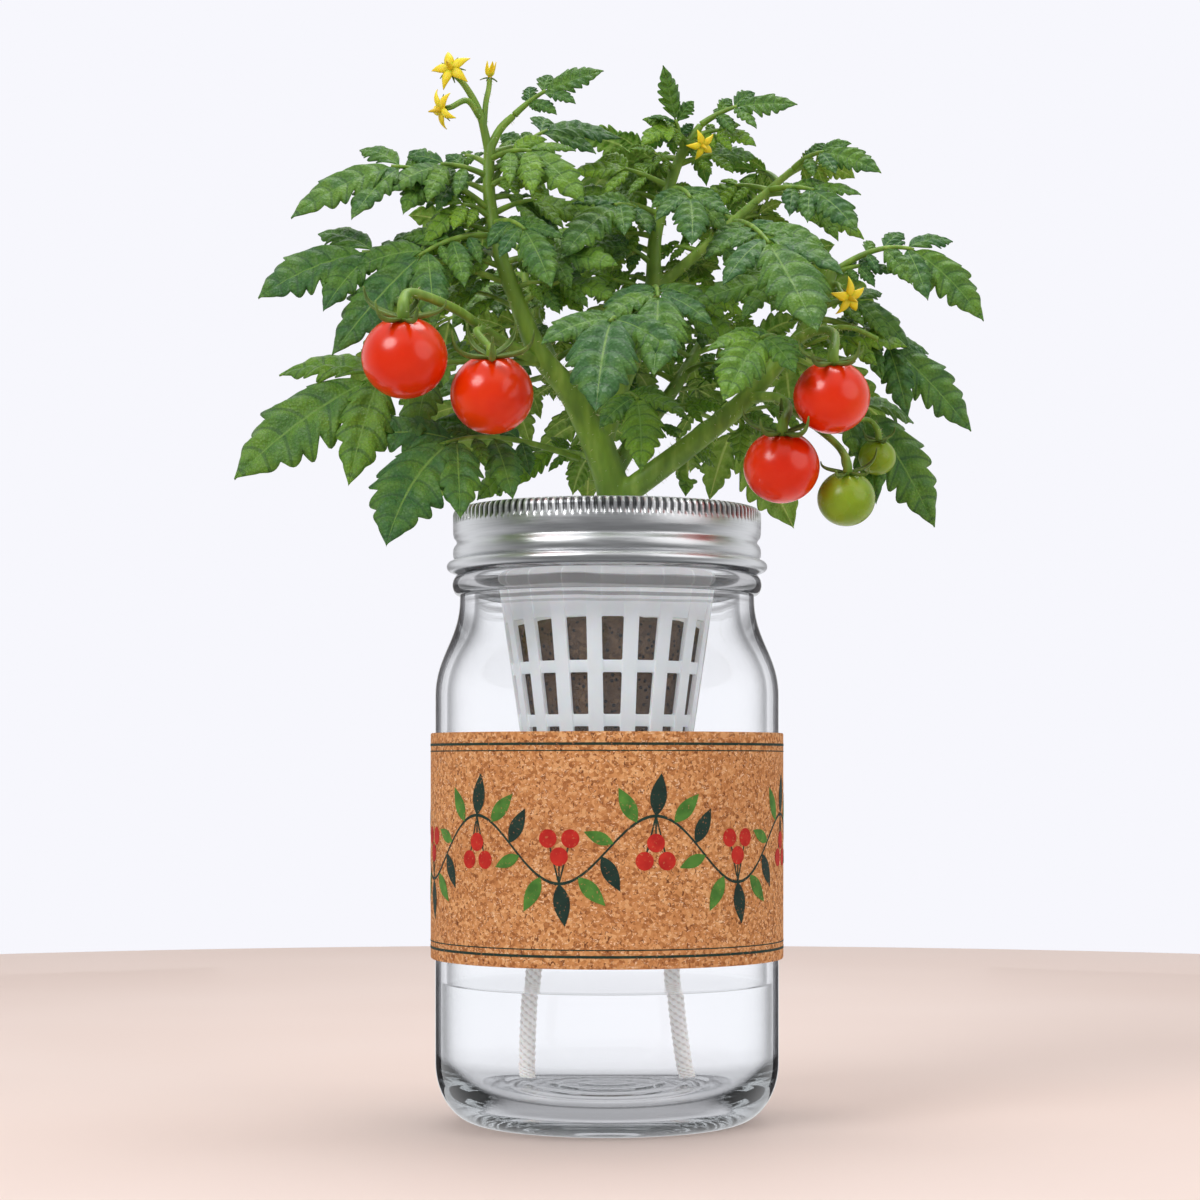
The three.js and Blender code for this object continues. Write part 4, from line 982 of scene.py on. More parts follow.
# %% Plug
PLUG_FOOT, PLUG_TOP = 106.0, 140.0
STEM_HOLE_R, STEM_HOLE_FOOT = 5.85, 125.65
CRUMBS = ((0.45, 0.35), (0.35, 1.1))  # depth in mm and scale of each noise that eats the skin
EDGE_WAVES = 18
plug_line = [(0, PLUG_FOOT), (10, PLUG_FOOT), (21.5, PLUG_FOOT), (22.1, PLUG_FOOT + 0.5)]
plug_line += [(cup_radius(z) - 1.8, z) for z in np.linspace(107, 138.6, 26)]
plug_line += [(26.4, 139.6), (25.6, 140.2), (22, 141.4), (18, 142), (15, 142.2), (11, 142), (8, 141.5)]
plug_line += [(6.2, 140.8), (STEM_HOLE_R, 139.4), (STEM_HOLE_R, 132), (STEM_HOLE_R, STEM_HOLE_FOOT)]
plug_line += [(0, STEM_HOLE_FOOT)]
plug = turned(plug_line, 120)
earthy = points_of(plug) / MM
for i, (x, y, z) in enumerate(earthy):
    r = math.hypot(x, y)
    if r > STEM_HOLE_R + 0.2:
        spot = Vector((x, y, z))
        bite = sum(deep * (0.5 + 0.5 * noise.noise(spot * scale)) for deep, scale in CRUMBS)
        if r > 12 and z < 139.5:
            earthy[i, :2] *= 1 - bite / r
        rim = max(0.0, min(1.0, (r - 16) / 6)) * max(0.0, min(1.0, (z - 134) / 5))
        wave = 0.7 * math.sin(EDGE_WAVES * math.atan2(y, x)) + 0.8 * noise.noise(spot * 0.22)
        earthy[i, 2] -= (bite * 0.6 if z > 139 else 0) + rim * (0.6 + wave) * 0.35
set_points(plug, earthy * MM)
coat(smooth(plug, 60), peat.material)
settle(plug, "plug_pressed_peat", "plant", "grow_medium", "grow_plug")

# %% [markdown]
# ## The stem
# The plant's stem forks low, and its branches taper to their ends. Every branch is a rolled stalk. A
# voxel remesh melts them into one skin with soft forks, and a little smoothing takes the voxel steps
# out. Fine hairs stand off it, as on any tomato, each a thin three-sided spike.

# %% Stem finish
stem_finish = Finish("stem", Roughness=0.5, Subsurface_Weight=0.2, Subsurface_Scale=0.002)
along_stem = stem_finish.grain(260, 3, stem_finish.stretched((1.0, 1.0, 0.2)))
stem_tone = stem_finish.ramp(
    along_stem, (0.25, paint(84, 118, 30)), (0.55, paint(122, 158, 48)), (0.8, paint(162, 190, 88))
)
mottle = stem_finish.span(stem_finish.grain(90, 3), 0.45, 0.75, 0.0, 0.5)
stem_finish.set(Base_Color=stem_finish.mixed(mottle, stem_tone, solid(90, 124, 34)))
stem_finish.relief(along_stem, 0.3, 0.6)

hair_finish = Finish("stem_hair", Roughness=0.6, Subsurface_Weight=0.3, Subsurface_Scale=0.001)
hair_tone = hair_finish.ramp(
    hair_finish.grain(300, 2), (0.3, paint(176, 190, 118)), (0.7, paint(216, 222, 176))
)
hair_finish.set(Base_Color=hair_tone)

# %% Branches
def grown(points):
    """Points of the plant's tables, which count from the middle of the plug's top, in the frame's mm."""
    return [(x, y, z + PLUG_TOP) for x, y, z in points]


FLOWERS = {  # back of the petals, way it faces, radius
    "flower_top": ((-43.5, -12, 154.5), (-0.25, -1, 0.25), 6),
    "flower_side": ((-46, -15, 142.5), (-1, -0.6, -0.35), 5.8),
    "flower_bud": ((-33, -4, 154), (0.1, -0.2, 1), 4),
    "flower_upper_right": ((27, 3, 136.5), (0.4, -0.8, -0.5), 4.5),
    "flower_right": ((66, -28, 88), (0.5, -0.8, -0.45), 5.6),
}


def flower_end(name):
    place, front, _ = FLOWERS[name]
    way = Vector(front).normalized()
    return [tuple(Vector(place) - way * back) for back in (3, 0.3)]


MAIN_STEM = [(0, 0, -14), (0, 0, 10), (2, 0, 36), (-3, 0, 53)]
LEFT_BRANCH = [
    (-2, 0, 49), (-10, -3, 65), (-19, -7, 76), (-25, -9, 90), (-30, -9, 104), (-33, -7, 120), (-33, -6, 135),
]
MIDDLE_BRANCH = [
    (-2, 1, 51), (3, 4, 67), (9, 8, 81), (13, 11, 97), (14, 13, 113), (18, 13, 127), (22, 12, 137),
    (27, 10, 144),
]
RIGHT_BRANCH = [
    (2, 0, 35), (12, -3, 42), (23, -6, 50), (37, -11, 61), (49, -15, 74), (57, -18, 84), (63, -18, 99),
]
HIGH_RIGHT_BRANCH = [(12, 11, 95), (24, 14, 106), (35, 15, 116), (47, 18, 127), (54, 18, 133)]
BACK_LEFT_BRANCH = [(-2, 1, 50), (-8, 12, 62), (-14, 22, 74), (-22, 38, 96), (-26, 46, 116)]
BACK_RIGHT_BRANCH = [(1, 1, 42), (8, 12, 54), (16, 22, 65), (28, 40, 86), (36, 50, 106)]
BRANCHES = [
    (MAIN_STEM, (5.5, 5.3, 4.9, 4.6)),
    (LEFT_BRANCH, (4.2, 3.7, 3.1, 2.6, 2.2, 1.9, 1.6)),
    (MIDDLE_BRANCH, (3.6, 3.2, 2.8, 2.4, 2, 1.7, 1.2)),
    (RIGHT_BRANCH, (3.6, 3.4, 3.1, 2.8, 2.5, 2.1, 1.6)),
    (HIGH_RIGHT_BRANCH, (1.9, 1.7, 1.5, 1.3, 1.1)),
    (BACK_LEFT_BRANCH, (2.8, 2.4, 2, 1.6, 1.2)),
    (BACK_RIGHT_BRANCH, (2.8, 2.4, 2, 1.6, 1.2)),
    ([(-33, -6, 133), (-30, -6, 139), (-26, -6, 143)], (1.4, 1.1)),
    ([(20, 13, 132), (24, 9, 138), *flower_end("flower_upper_right")], (1, 0.7)),
    ([(59, -18, 90), (63, -20, 93), *flower_end("flower_right")], (1, 0.8)),
]
VOXEL = 0.55  # mm
stem = merge([stalk(grown(points), radii, 10 * len(points), 12) for points, radii in BRANCHES])
modify(stem, "REMESH", mode="VOXEL", voxel_size=VOXEL * MM)
modify(stem, "SMOOTH", factor=0.5, iterations=6)
set_faces(stem, "use_smooth", True)
print("stem skin has", len(stem.data.polygons), "faces")

# %% Hairs on the stem
HAIRS, HAIR_LENGTH, HAIR_R = 900, 2.1, 0.13
HAIR_LEAN, HAIR_ROOT = 0.35, 0.15  # lean off upright, and mm sunk into the skin
draw = random.Random(11)


def hair_spikes(piece, count, length):
    """Thin three-sided spikes standing on a skin, as one mesh."""
    picks = draw.sample(range(len(piece.data.vertices)), count)
    master = made(
        bpy.ops.mesh.primitive_cone_add, vertices=3, radius1=HAIR_R * MM, radius2=0, depth=length * MM
    )
    spike = points_of(master) + (0, 0, length * MM / 2)
    hairs = []
    for pick in picks:
        vertex = piece.data.vertices[pick]
        lean = (vertex.normal + Vector([draw.uniform(-HAIR_LEAN, HAIR_LEAN) for _ in range(3)])).normalized()
        turn = np.array(lean.to_track_quat("Z", "Y").to_matrix())
        hair = bpy.data.objects.new("hair", master.data.copy())
        bpy.context.collection.objects.link(hair)
        foot = np.array(vertex.co) - np.array(vertex.normal) * HAIR_ROOT * MM
        set_points(hair, spike * draw.uniform(0.5, 1.0) @ turn.T + foot)
        hairs.append(hair)
    bpy.data.objects.remove(master)
    return merge(hairs)


def with_hairs(piece, count, length):
    """The piece with hairs on it, in the hairs' own finish."""
    hairs = coat(hair_spikes(piece, count, length), hair_finish.material)
    return merge([piece, hairs])


coat(stem, stem_finish.material)
stem = with_hairs(stem, HAIRS, HAIR_LENGTH)
settle(stem, "stem_branched", "plant", "stem", "plant_stem")

# %% [markdown]
# ## The tomatoes
# Four tomatoes are ripe and two are green. A tomato is a little flatter than a ball, sinks to a dimple
# round its stalk, and has five faint shoulders there. A sphere is reshaped to that, denser than it looks to
# need, because a glossy skin shows every facet.

# %% Fruit finishes
def fruit_finish(name, gloss, soft, cloud, tones, flecks, fleck_tone, rough):
    """A glossy skin in three tones, with fine pale flecks of a scale, a size and a strength."""
    finish = Finish(name, Specular_IOR_Level=gloss, Subsurface_Weight=soft, Subsurface_Scale=0.003)
    tone = finish.ramp(finish.grain(cloud, 3), *zip((0.3, 0.55, 0.8), tones))
    scale, size, strength = flecks
    fleck = finish.span(finish.cells(scale), 0.0, size, strength, 0.0)
    finish.set(Base_Color=finish.mixed(fleck, tone, fleck_tone))
    finish.set(Roughness=finish.span(finish.grain(160, 2), 0.3, 0.7, *rough))
    finish.relief(finish.grain(420, 2), 0.05, 0.15)
    return finish.material


RIPE_TONES = (paint(214, 32, 0), paint(231, 50, 0), paint(243, 80, 4))
UNRIPE_TONES = (paint(108, 142, 22), paint(136, 164, 34), paint(164, 184, 62))
ripe = fruit_finish(
    "ripe_fruit", 0.5, 0.12, 38, RIPE_TONES, (1400, 0.16, 0.2), solid(244, 116, 50), (0.19, 0.25)
)
unripe = fruit_finish(
    "unripe_fruit", 0.42, 0.2, 60, UNRIPE_TONES, (1500, 0.2, 0.35), solid(196, 206, 110), (0.24, 0.32)
)

calyx = Finish("calyx", Roughness=0.55, Subsurface_Weight=0.15, Subsurface_Scale=0.001)
calyx_tone = calyx.ramp(calyx.grain(240, 3), (0.3, paint(70, 96, 30)), (0.7, paint(112, 140, 54)))
calyx.set(Base_Color=calyx_tone)
calyx.relief(calyx.grain(900, 2), 0.1, 0.4)

# %% Fruit
TOMATOES = {  # middle, radius
    "tomato_left_outer": ((-54, -46, 69), 11.5),
    "tomato_left_inner": ((-31, -40, 60), 11.2),
    "tomato_right_upper": ((60, -42, 59), 10.3),
    "tomato_right_lower": ((47, -36, 41), 10.3),
    "tomato_green": ((65, -30, 33), 7.9),
    "tomato_green_small": ((75, -14, 46), 5.2),
}
FLATNESS, DIMPLE = 0.95, 0.1
FRUIT_LEAN = math.radians(24)  # the stalk's end leans to the front


def leaned(points):
    """Points about a fruit's middle, leaned with it."""
    points = np.atleast_2d(np.asarray(points, float))
    turn = np.array([
        [1, 0, 0],
        [0, math.cos(FRUIT_LEAN), -math.sin(FRUIT_LEAN)],
        [0, math.sin(FRUIT_LEAN), math.cos(FRUIT_LEAN)],
    ])
    return points @ turn.T


for order, (node, (place, size)) in enumerate(TOMATOES.items()):
    fruit = made(bpy.ops.mesh.primitive_uv_sphere_add, segments=72, ring_count=48, radius=1)
    ball = points_of(fruit)
    out = np.hypot(ball[:, 0], ball[:, 1])
    turn = np.arctan2(ball[:, 1], ball[:, 0]) + order
    high = np.clip(ball[:, 2], 0, 1)
    lobes = 1 - 0.03 * high**2 * out * (0.5 - 0.5 * np.cos(5 * turn))
    ball[:, :2] *= lobes[:, None]
    sunk = DIMPLE * np.exp(-((out / 0.24) ** 2)) * (ball[:, 2] > 0)
    ribs = 0.02 * np.exp(-(((out - 0.3) / 0.18) ** 2)) * (ball[:, 2] > 0) * np.cos(5 * turn)
    tip = 0.012 * np.exp(-((out / 0.06) ** 2)) * (ball[:, 2] < 0)
    ball[:, 2] = (ball[:, 2] - sunk + ribs - tip) * FLATNESS
    set_points(fruit, (leaned(ball * size) + grown([place])[0]) * MM)
    set_faces(fruit, "use_smooth", True)
    green = "green" in node
    coat(fruit, unripe if green else ripe)
    settle(fruit, node.replace("tomato", "fruit"), "plant", "unripe_fruit" if green else "ripe_fruit", node)

# %% [markdown]
# ## Blades
# Leaves, sepals and petals are all thin blades along a rib. One master sheet of each kind is modelled flat,
# from a grid, and every copy is then laid along its own rib. A blade has three values on its points: how
# far along its veins it is, how far across, and a tone of its own. The finishes read these to draw ribs and
# veins.

# %% Laying a blade along a rib
def bezier(base, elbow, tip, share):
    share = np.asarray(share, float)[..., None]
    base, elbow, tip = (np.asarray(p, float) for p in (base, elbow, tip))
    return (1 - share) ** 2 * base + 2 * share * (1 - share) * elbow + share**2 * tip


def bezier_way(base, elbow, tip, share):
    share = np.asarray(share, float)[..., None]
    base, elbow, tip = (np.asarray(p, float) for p in (base, elbow, tip))
    return unit(2 * (1 - share) * (elbow - base) + 2 * share * (tip - elbow))


def facing(along, face):
    """The face's direction made square to the way the rib runs."""
    face = np.broadcast_to(np.asarray(face, float), along.shape)
    return unit(face - along * np.sum(face * along, axis=-1, keepdims=True))


def grid_master(columns, rows):
    """A flat grid with its vein, across and tone values, and its columns and places across as arrays."""
    master = made(bpy.ops.mesh.primitive_grid_add, x_subdivisions=columns, y_subdivisions=rows, size=2)
    flat = points_of(master)
    for value in ("vein", "across", "tone"):
        master.data.attributes.new(value, "FLOAT", "POINT")
    mark(master, "across", flat[:, 1])
    return master, np.rint((flat[:, 0] + 1) / 2 * columns).astype(int), flat[:, 1]


def shaped_master(master, points, vein):
    """The master with its shape and vein values, and with the points merged that meet at its ends."""
    mark(set_points(master, points), "vein", vein)
    open_skin(master)
    bpy.ops.mesh.remove_doubles(threshold=1e-5)
    bpy.ops.object.mode_set(mode="OBJECT")
    return set_faces(master, "use_smooth", True)


def laid(master, rib, length, face, tone, roll=0.0, width=1.0):
    """A copy of a master blade along a rib of three points in mm."""
    shape = points_of(master)
    share = np.clip(shape[:, 0], 0, 1)
    way = bezier_way(*rib, share)
    up = facing(way, face)
    side = np.cross(up, way)
    up, side = up * math.cos(roll) + side * math.sin(roll), side * math.cos(roll) - up * math.sin(roll)
    spot = bezier(*rib, share) + length * (shape[:, 1:2] * width * side + shape[:, 2:] * up)
    spot += way * (shape[:, 0:1] - share[:, None]) * length
    blade = bpy.data.objects.new("blade", master.data.copy())
    bpy.context.collection.objects.link(blade)
    set_points(blade, spot * MM)
    return mark(blade, "tone", np.full(len(spot), tone))


def thicken(sheet, thickness):
    """Gives blades a thickness on the side away from their face, in the next finish."""
    return modify(sheet, "SOLIDIFY", thickness=thickness * MM, offset=-1, material_offset=1)


# %% [markdown]
# ## Leaflets
# A tomato leaflet is egg-shaped with a drawn-out tip, and its edge has coarse teeth that point forwards.
# The veins run to the teeth, and the leaf is quilted between them. The master's cross rows slant forwards
# as the veins do, so that teeth and quilting fall on whole rows of the grid.

# %% Leaflet masters
TOOTH_TIP = 0.6  # place of a tooth's point, over the tooth's length
LEAF_HALF_WIDTH = 0.25  # over its length
STALK_ROWS, STALK_SHARE = 2, 0.05


def leaflet_master(teeth, tooth_rows, rows, quilt, lean):
    columns = STALK_ROWS + teeth * tooth_rows
    master, column, across = grid_master(columns, rows)
    blade_row = np.clip(column - STALK_ROWS, 0, None)
    q = blade_row / (teeth * tooth_rows)
    u = np.where(column < STALK_ROWS, STALK_SHARE * column / STALK_ROWS, STALK_SHARE + (1 - STALK_SHARE) * q)
    phase = blade_row % tooth_rows / tooth_rows
    rise = np.sin(math.pi / 2 * np.clip(phase / TOOTH_TIP, 0, 1)) ** 0.8
    fall = np.cos(math.pi / 2 * np.clip((phase - TOOTH_TIP) / (1 - TOOTH_TIP), 0, 1))
    tooth = rise * fall
    body = q**0.46 * (1 - q) ** 1.08 / 0.405
    edge = np.abs(across)
    deep = np.interp(q, (0, 0.3, 0.6, 0.9), (0.46, 0.36, 0.26, 0.0))
    half = LEAF_HALF_WIDTH * body * (1 - deep * (1 - tooth) * edge**2.5)
    half = np.maximum(half, 0.014 * (1 - q))
    pillow = (0.5 - 0.5 * np.cos(2 * math.pi * (phase - TOOTH_TIP))) * edge**0.5 * (1 - 0.75 * edge**3) * body
    along = u + (0.35 * edge + 0.5 * edge**2) * half * (1 - 0.5 * q)
    wing = half * (0.55 * edge - 0.66 * edge**2)
    wave = 0.022 * edge**3 * np.sin(math.pi * blade_row / tooth_rows + across + lean) * body
    height = quilt * pillow + wing + wave - 0.008 * np.exp(-((edge / 0.1) ** 2))
    points = np.stack([along, across * half * (1 + lean * 0.12 * np.sign(across)), height], axis=1)
    return shaped_master(master, points, blade_row / tooth_rows)


large_leaflets = [leaflet_master(6, 7, 12, 0.036, lean) for lean in (-0.5, 0.0, 0.6)]
side_leaflets = [leaflet_master(5, 6, 8, 0.038, lean) for lean in (-0.7, 0.1, 0.7)]
small_leaflets = [leaflet_master(4, 3, 6, 0.034, lean) for lean in (-0.4, 0.4)]
young_leaflets = [leaflet_master(5, 3, 4, 0.034, lean) for lean in (-0.6, 0.0, 0.6)]
for kind, masters in (("large", large_leaflets), ("young", young_leaflets)):
    print("faces of a", kind, "leaflet", len(masters[0].data.polygons))

# %% [markdown]
# ## Leaf finishes
# The upper side is deep green with a blue cast, and its midrib is a pale line. Its side veins and a fine net
# of veins are painted darker, as painted shade in the sunk furrows between the cushions. The underside is
# paler and more yellow, and the same marks paint its raised veins lighter, their own colour.
# Each leaflet's own tone moves it between deep and fresh green.

# %% Leaf finishes
def leaf_finish(name, deep, fresh, rib, vein_tone_and_shade, rib_width, gloss, quilt):
    finish = Finish(name, Subsurface_Weight=0.15, Subsurface_Scale=0.0012)
    finish.set(Subsurface_Radius=(0.4, 1.0, 0.15), Specular_IOR_Level=0.36)
    across = finish.maths("ABSOLUTE", finish.attribute("across"))
    from_vein = finish.maths("SUBTRACT", finish.attribute("vein"), TOOTH_TIP)
    ridge = finish.maths("COSINE", finish.maths("MULTIPLY", from_vein, 2 * math.pi))
    side_vein = finish.span(ridge, 0.8, 1.0, 0.0, 0.5)
    blotch = finish.span(finish.grain(150, 3), 0.3, 0.7, -0.2, 0.2)
    tone = finish.maths("ADD", finish.attribute("tone"), blotch)
    between = tuple((a + b) / 2 for a, b in zip(deep, fresh))
    green = finish.ramp(tone, (0.0, deep), (0.5, between), (1.0, fresh))
    # Upper side: painted shade, the side-vein furrows and the fine net are painted darker. Underside: the
    # same marks paint the raised veins lighter, their own colour.
    net = finish.span(finish.cells(1150, feature="DISTANCE_TO_EDGE"), 0.0, 0.12, 0.3, 0.0)
    green = finish.mixed(net, green, (*vein_tone_and_shade, 1))
    green = finish.mixed(side_vein, green, (*vein_tone_and_shade, 1))
    midrib = finish.span(across, rib_width * 0.6, rib_width * 1.7, 1.0, 0.0)
    finish.set(Base_Color=finish.mixed(midrib, green, (*rib, 1)))
    finish.set(Roughness=finish.span(finish.grain(400, 2), 0.3, 0.7, gloss - 0.06, gloss + 0.08))
    off_midrib = finish.maths("MULTIPLY", ridge, finish.span(across, 0.0, 0.25))
    quilted = finish.maths("MULTIPLY", off_midrib, -quilt)
    finish.relief(finish.maths("ADD", quilted, finish.cells(1150)), 0.3, 0.8)
    return finish.material


# The fourth colour is the painted shade of the upper side's vein furrows.
leaf_top = leaf_finish(
    "leaf_upper_side",
    paint(58, 104, 48), paint(124, 164, 30), paint(114, 150, 66), paint(24, 64, 24),
    rib_width=0.026, gloss=0.52, quilt=0.9,
)
leaf_under = leaf_finish(
    "leaf_underside",
    paint(104, 146, 66), paint(144, 176, 62), paint(172, 196, 104), paint(142, 172, 86),
    rib_width=0.05, gloss=0.62, quilt=-0.5,
)
LEAF_FINISHES = (leaf_top, leaf_under, stem_finish.material)

# %% Building a compound leaf
RACHIS_START_R, RACHIS_END_R = 1.0, 0.5
LEAF_THICKNESS = 0.32
SIDE_DROOP = 0.28
SMALL_LEAF = 44  # mm of arch, under which the leaflets sit closer and are larger
FULL_PAIRS = ((0.43, 0.64, 50), (0.28, 0.52, 62))  # place on the arch, length over the end leaflet's, degrees
SHORT_PAIRS = ((0.36, 0.7, 48), (0.2, 0.55, 60))
BETWEEN_PAIRS = ((0.355, 0.24, 72), (0.18, 0.3, 74))
FACE_TILT, FACE_DIVIDE = 1.1, 28
leaf_draw = random.Random(5)


def vary(middle, spread):
    return middle + leaf_draw.uniform(-spread, spread)


def side_leaflet(arch, face, at, long, degrees, hand, master, freshness):
    """One side leaflet, which leaves the stalk at an angle and droops to its tip."""
    start, way = bezier(*arch, at), bezier_way(*arch, at)
    side = np.cross(way, facing(way, face))
    angle = math.radians(vary(degrees, 7))
    heading = way * math.cos(angle) + hand * side * math.sin(angle)
    point = start + heading * long * 0.95 - np.array((0, 0, SIDE_DROOP * long))
    rib = (start, start + heading * long / 2, point)
    return laid(master, rib, long, face, vary(freshness, 0.16), vary(0, 0.3))


def compound_leaf(base, elbow, tip, freshness, young=False):
    """A leaf's stalk with its end leaflet and pairs of side leaflets, from three points of its arch in mm."""
    arch = (base, elbow, tip)
    run = steps_of(bezier(*arch, np.linspace(0, 1, 40))).sum()
    short = run < SMALL_LEAF
    blade_start = 0.38 if short else 0.46
    face = np.array((0, -FACE_TILT if tip[1] < FACE_DIVIDE else FACE_TILT, 1))
    reach = run * (1 - blade_start)
    end = bezier(*arch, [blade_start, (blade_start + 1) / 2, 1])
    end[1] += (end[1] - end[2]) * 0.02
    sideways = math.sqrt(1 - unit(end[2] - end[0])[1] ** 2)
    width = np.interp(sideways, (0.6, 0.95), (0.72, 1.08))
    spread = np.interp(sideways, (0.6, 0.95), (0.74, 1.0))
    ends, sides = (young_leaflets, young_leaflets) if young else (large_leaflets, side_leaflets)
    blades = [laid(leaf_draw.choice(ends), end, reach, face, vary(freshness, 0.16), vary(0, 0.2), width)]
    jobs = [(sides, *pair) for pair in (SHORT_PAIRS if short else FULL_PAIRS)]
    if not young:
        jobs += [(small_leaflets, *pair) for pair in (BETWEEN_PAIRS[1:] if short else BETWEEN_PAIRS)]
    for masters, at, share, degrees in jobs:
        for hand in (-1, 1):
            long = share * spread * reach * vary(0.97, 0.09)
            master = leaf_draw.choice(masters)
            blades.append(side_leaflet(arch, face, at, long, degrees, hand, master, freshness))
    sheet = thicken(coat(merge(blades), *LEAF_FINISHES), LEAF_THICKNESS)
    line = bezier(*arch, np.linspace(0, blade_start + 0.02, 14))
    rachis = rolled(line, 8, lambda _, place: RACHIS_START_R + (RACHIS_END_R - RACHIS_START_R) * place)
    coat(rachis, *LEAF_FINISHES)
    set_faces(rachis, "material_index", LEAF_FINISHES.index(stem_finish.material))
    set_faces(rachis, "use_smooth", True)
    return merge([sheet, rachis])


# %% [markdown]
# ## The leaves
# Each leaf of the frame has its base on a branch, an elbow that its stalk arches over, and a tip that it
# hangs to. The same three points lead the leaf here, so it stays where its solid is. Leaves at the front
# are older and deeper green. The ones at the back and low down are fresher, most of all at the foot.

# %% Leaves of the frame
LEAVES = {
    "leaf_left_low": ((-19, -8, 73), (-76, -30, 75), (-101, -34, 38)),
    "leaf_left_middle": ((-27, -9, 95), (-77, -18, 113), (-96, -22, 89)),
    "leaf_left_high": ((-33, -8, 116), (-62, -14, 140), (-87, -22, 111)),
    "leaf_left_front": ((-31, -10, 108), (-52, -28, 109), (-75, -30, 72)),
    "leaf_left_droop": ((-8, -2, 47), (-56, -46, 61), (-58, -58, 18)),
    "leaf_left_foot": ((-3, 0, 47), (-25, 24, 58), (-38, 26, 38)),
    "leaf_foot_small": ((-1, 2, 46), (-8, 24, 55), (-10, 30, 40)),
    "leaf_front_centre": ((9, 8, 82), (-2, -60, 90), (-3, -82, 50)),
    "leaf_front_upper": ((13, 11, 96), (15, -40, 95), (12, -62, 62)),
    "leaf_front_left": ((-32, -8, 112), (-21, -28, 113), (-15, -38, 89)),
    "leaf_centre_high": ((14, 13, 114), (3, -10, 128), (-13, -20, 100)),
    "leaf_top_left": ((-26, -6, 143), (-16, -6, 153), (-1, -8, 155)),
    "leaf_top_centre": ((-33, -6, 123), (-18, 10, 152), (4, 14, 141)),
    "leaf_top_upright": ((22, 12, 137), (19, 6, 146), (16, 2, 159)),
    "leaf_top_right": ((27, 10, 144), (39, 6, 152), (54, 2, 148)),
    "leaf_right_high": ((54, 18, 133), (63, 10, 142), (78, 4, 129)),
    "leaf_right_high_front": ((47, 18, 127), (64, 0, 127), (70, -8, 110)),
    "leaf_centre_hanging": ((18, 13, 126), (26, -18, 122), (23, -30, 102)),
    "leaf_front_right": ((37, 15, 117), (43, -40, 108), (55, -58, 74)),
    "leaf_front_right_low": ((50, -15, 75), (41, -52, 83), (30, -64, 55)),
    "leaf_centre_low": ((1, 3, 62), (12, -26, 71), (9, -34, 40)),
    "leaf_right_foot": ((36, -11, 60), (39, 8, 63), (38, 12, 47)),
    "leaf_foot_right": ((23, -6, 50), (24, 22, 55), (23, 26, 39)),
    "leaf_right_wide": ((63, -18, 97), (87, -24, 114), (103, -26, 82)),
    "leaf_right_middle": ((57, -18, 84), (83, -10, 83), (102, -8, 54)),
    "leaf_right_low": ((48, -15, 73), (79, 0, 67), (93, 2, 28)),
    "leaf_back_left_high": ((-26, 46, 115), (-46, 66, 134), (-70, 72, 108)),
    "leaf_back_left_middle": ((-22, 38, 96), (-52, 62, 104), (-80, 66, 74)),
    "leaf_back_left_low": ((-14, 22, 74), (-42, 52, 76), (-58, 72, 40)),
    "leaf_back_high": ((18, 13, 124), (8, 44, 158), (-8, 74, 134)),
    "leaf_back_low": ((-8, 12, 62), (-4, 56, 74), (-6, 82, 42)),
    "leaf_back_right_high": ((36, 50, 105), (58, 66, 124), (84, 66, 98)),
    "leaf_back_right_middle": ((28, 40, 86), (58, 58, 96), (86, 60, 64)),
    "leaf_back_right_low": ((16, 22, 65), (44, 54, 68), (58, 74, 34)),
}
FRONT_TONE, SHADED_TONE, FOOT_TONE = 0.22, 0.45, 0.6  # from deep to fresh green
for node, arch in LEAVES.items():
    fresh = FOOT_TONE if "foot" in node else SHADED_TONE if "back" in node or "low" in node else FRONT_TONE
    piece = compound_leaf(*grown(arch), fresh)
    settle(piece, node.replace("leaf", "foliage"), "plant", "leaf", node)

# %% [markdown]
# ## Inner leaves
# Between the large leaves the crown is full of younger, smaller ones. Each starts on a branch, at a place
# and in a direction drawn from a seeded list, and is kept inside the crown. Most are painted a fresher
# green, as painted light for the light that comes through them from behind.

# %% Inner leaves
INNER_BRANCHES = [
    (LEFT_BRANCH, 46),
    (MIDDLE_BRANCH, 46),
    (RIGHT_BRANCH, 34),
    (HIGH_RIGHT_BRANCH, 26),
    (BACK_LEFT_BRANCH, 18),
    (BACK_RIGHT_BRANCH, 18),
]
FRONT_BRANCHES = (LEFT_BRANCH, MIDDLE_BRANCH, RIGHT_BRANCH, HIGH_RIGHT_BRANCH)
BARE_STEMS = np.vstack([smooth_line(branch, 40) for branch in FRONT_BRANCHES])
BARE_SIDE, BARE_BACK = 6.5, 3  # mm beside and behind a stem's line that stay open to the front
FORK_HALF, FORK_TOP, FORK_BACK = 44, 86, 8  # half width, height and back of the stems' bare fork in mm
CROWN_LOW, CROWN_HIGH, CROWN_HALF_DEPTH, CROWN_HALF_WIDTH = 34, 150, 74, 92
FRUIT_CLEAR, FLOWER_CLEAR = 5, 3  # mm round a fruit or flower that stay open to the front
clear_spots = [(place, size + FRUIT_CLEAR) for place, size in TOMATOES.values()]
clear_spots += [(place, size + FLOWER_CLEAR) for place, _, size in FLOWERS.values()]
inner_draw = random.Random(23)


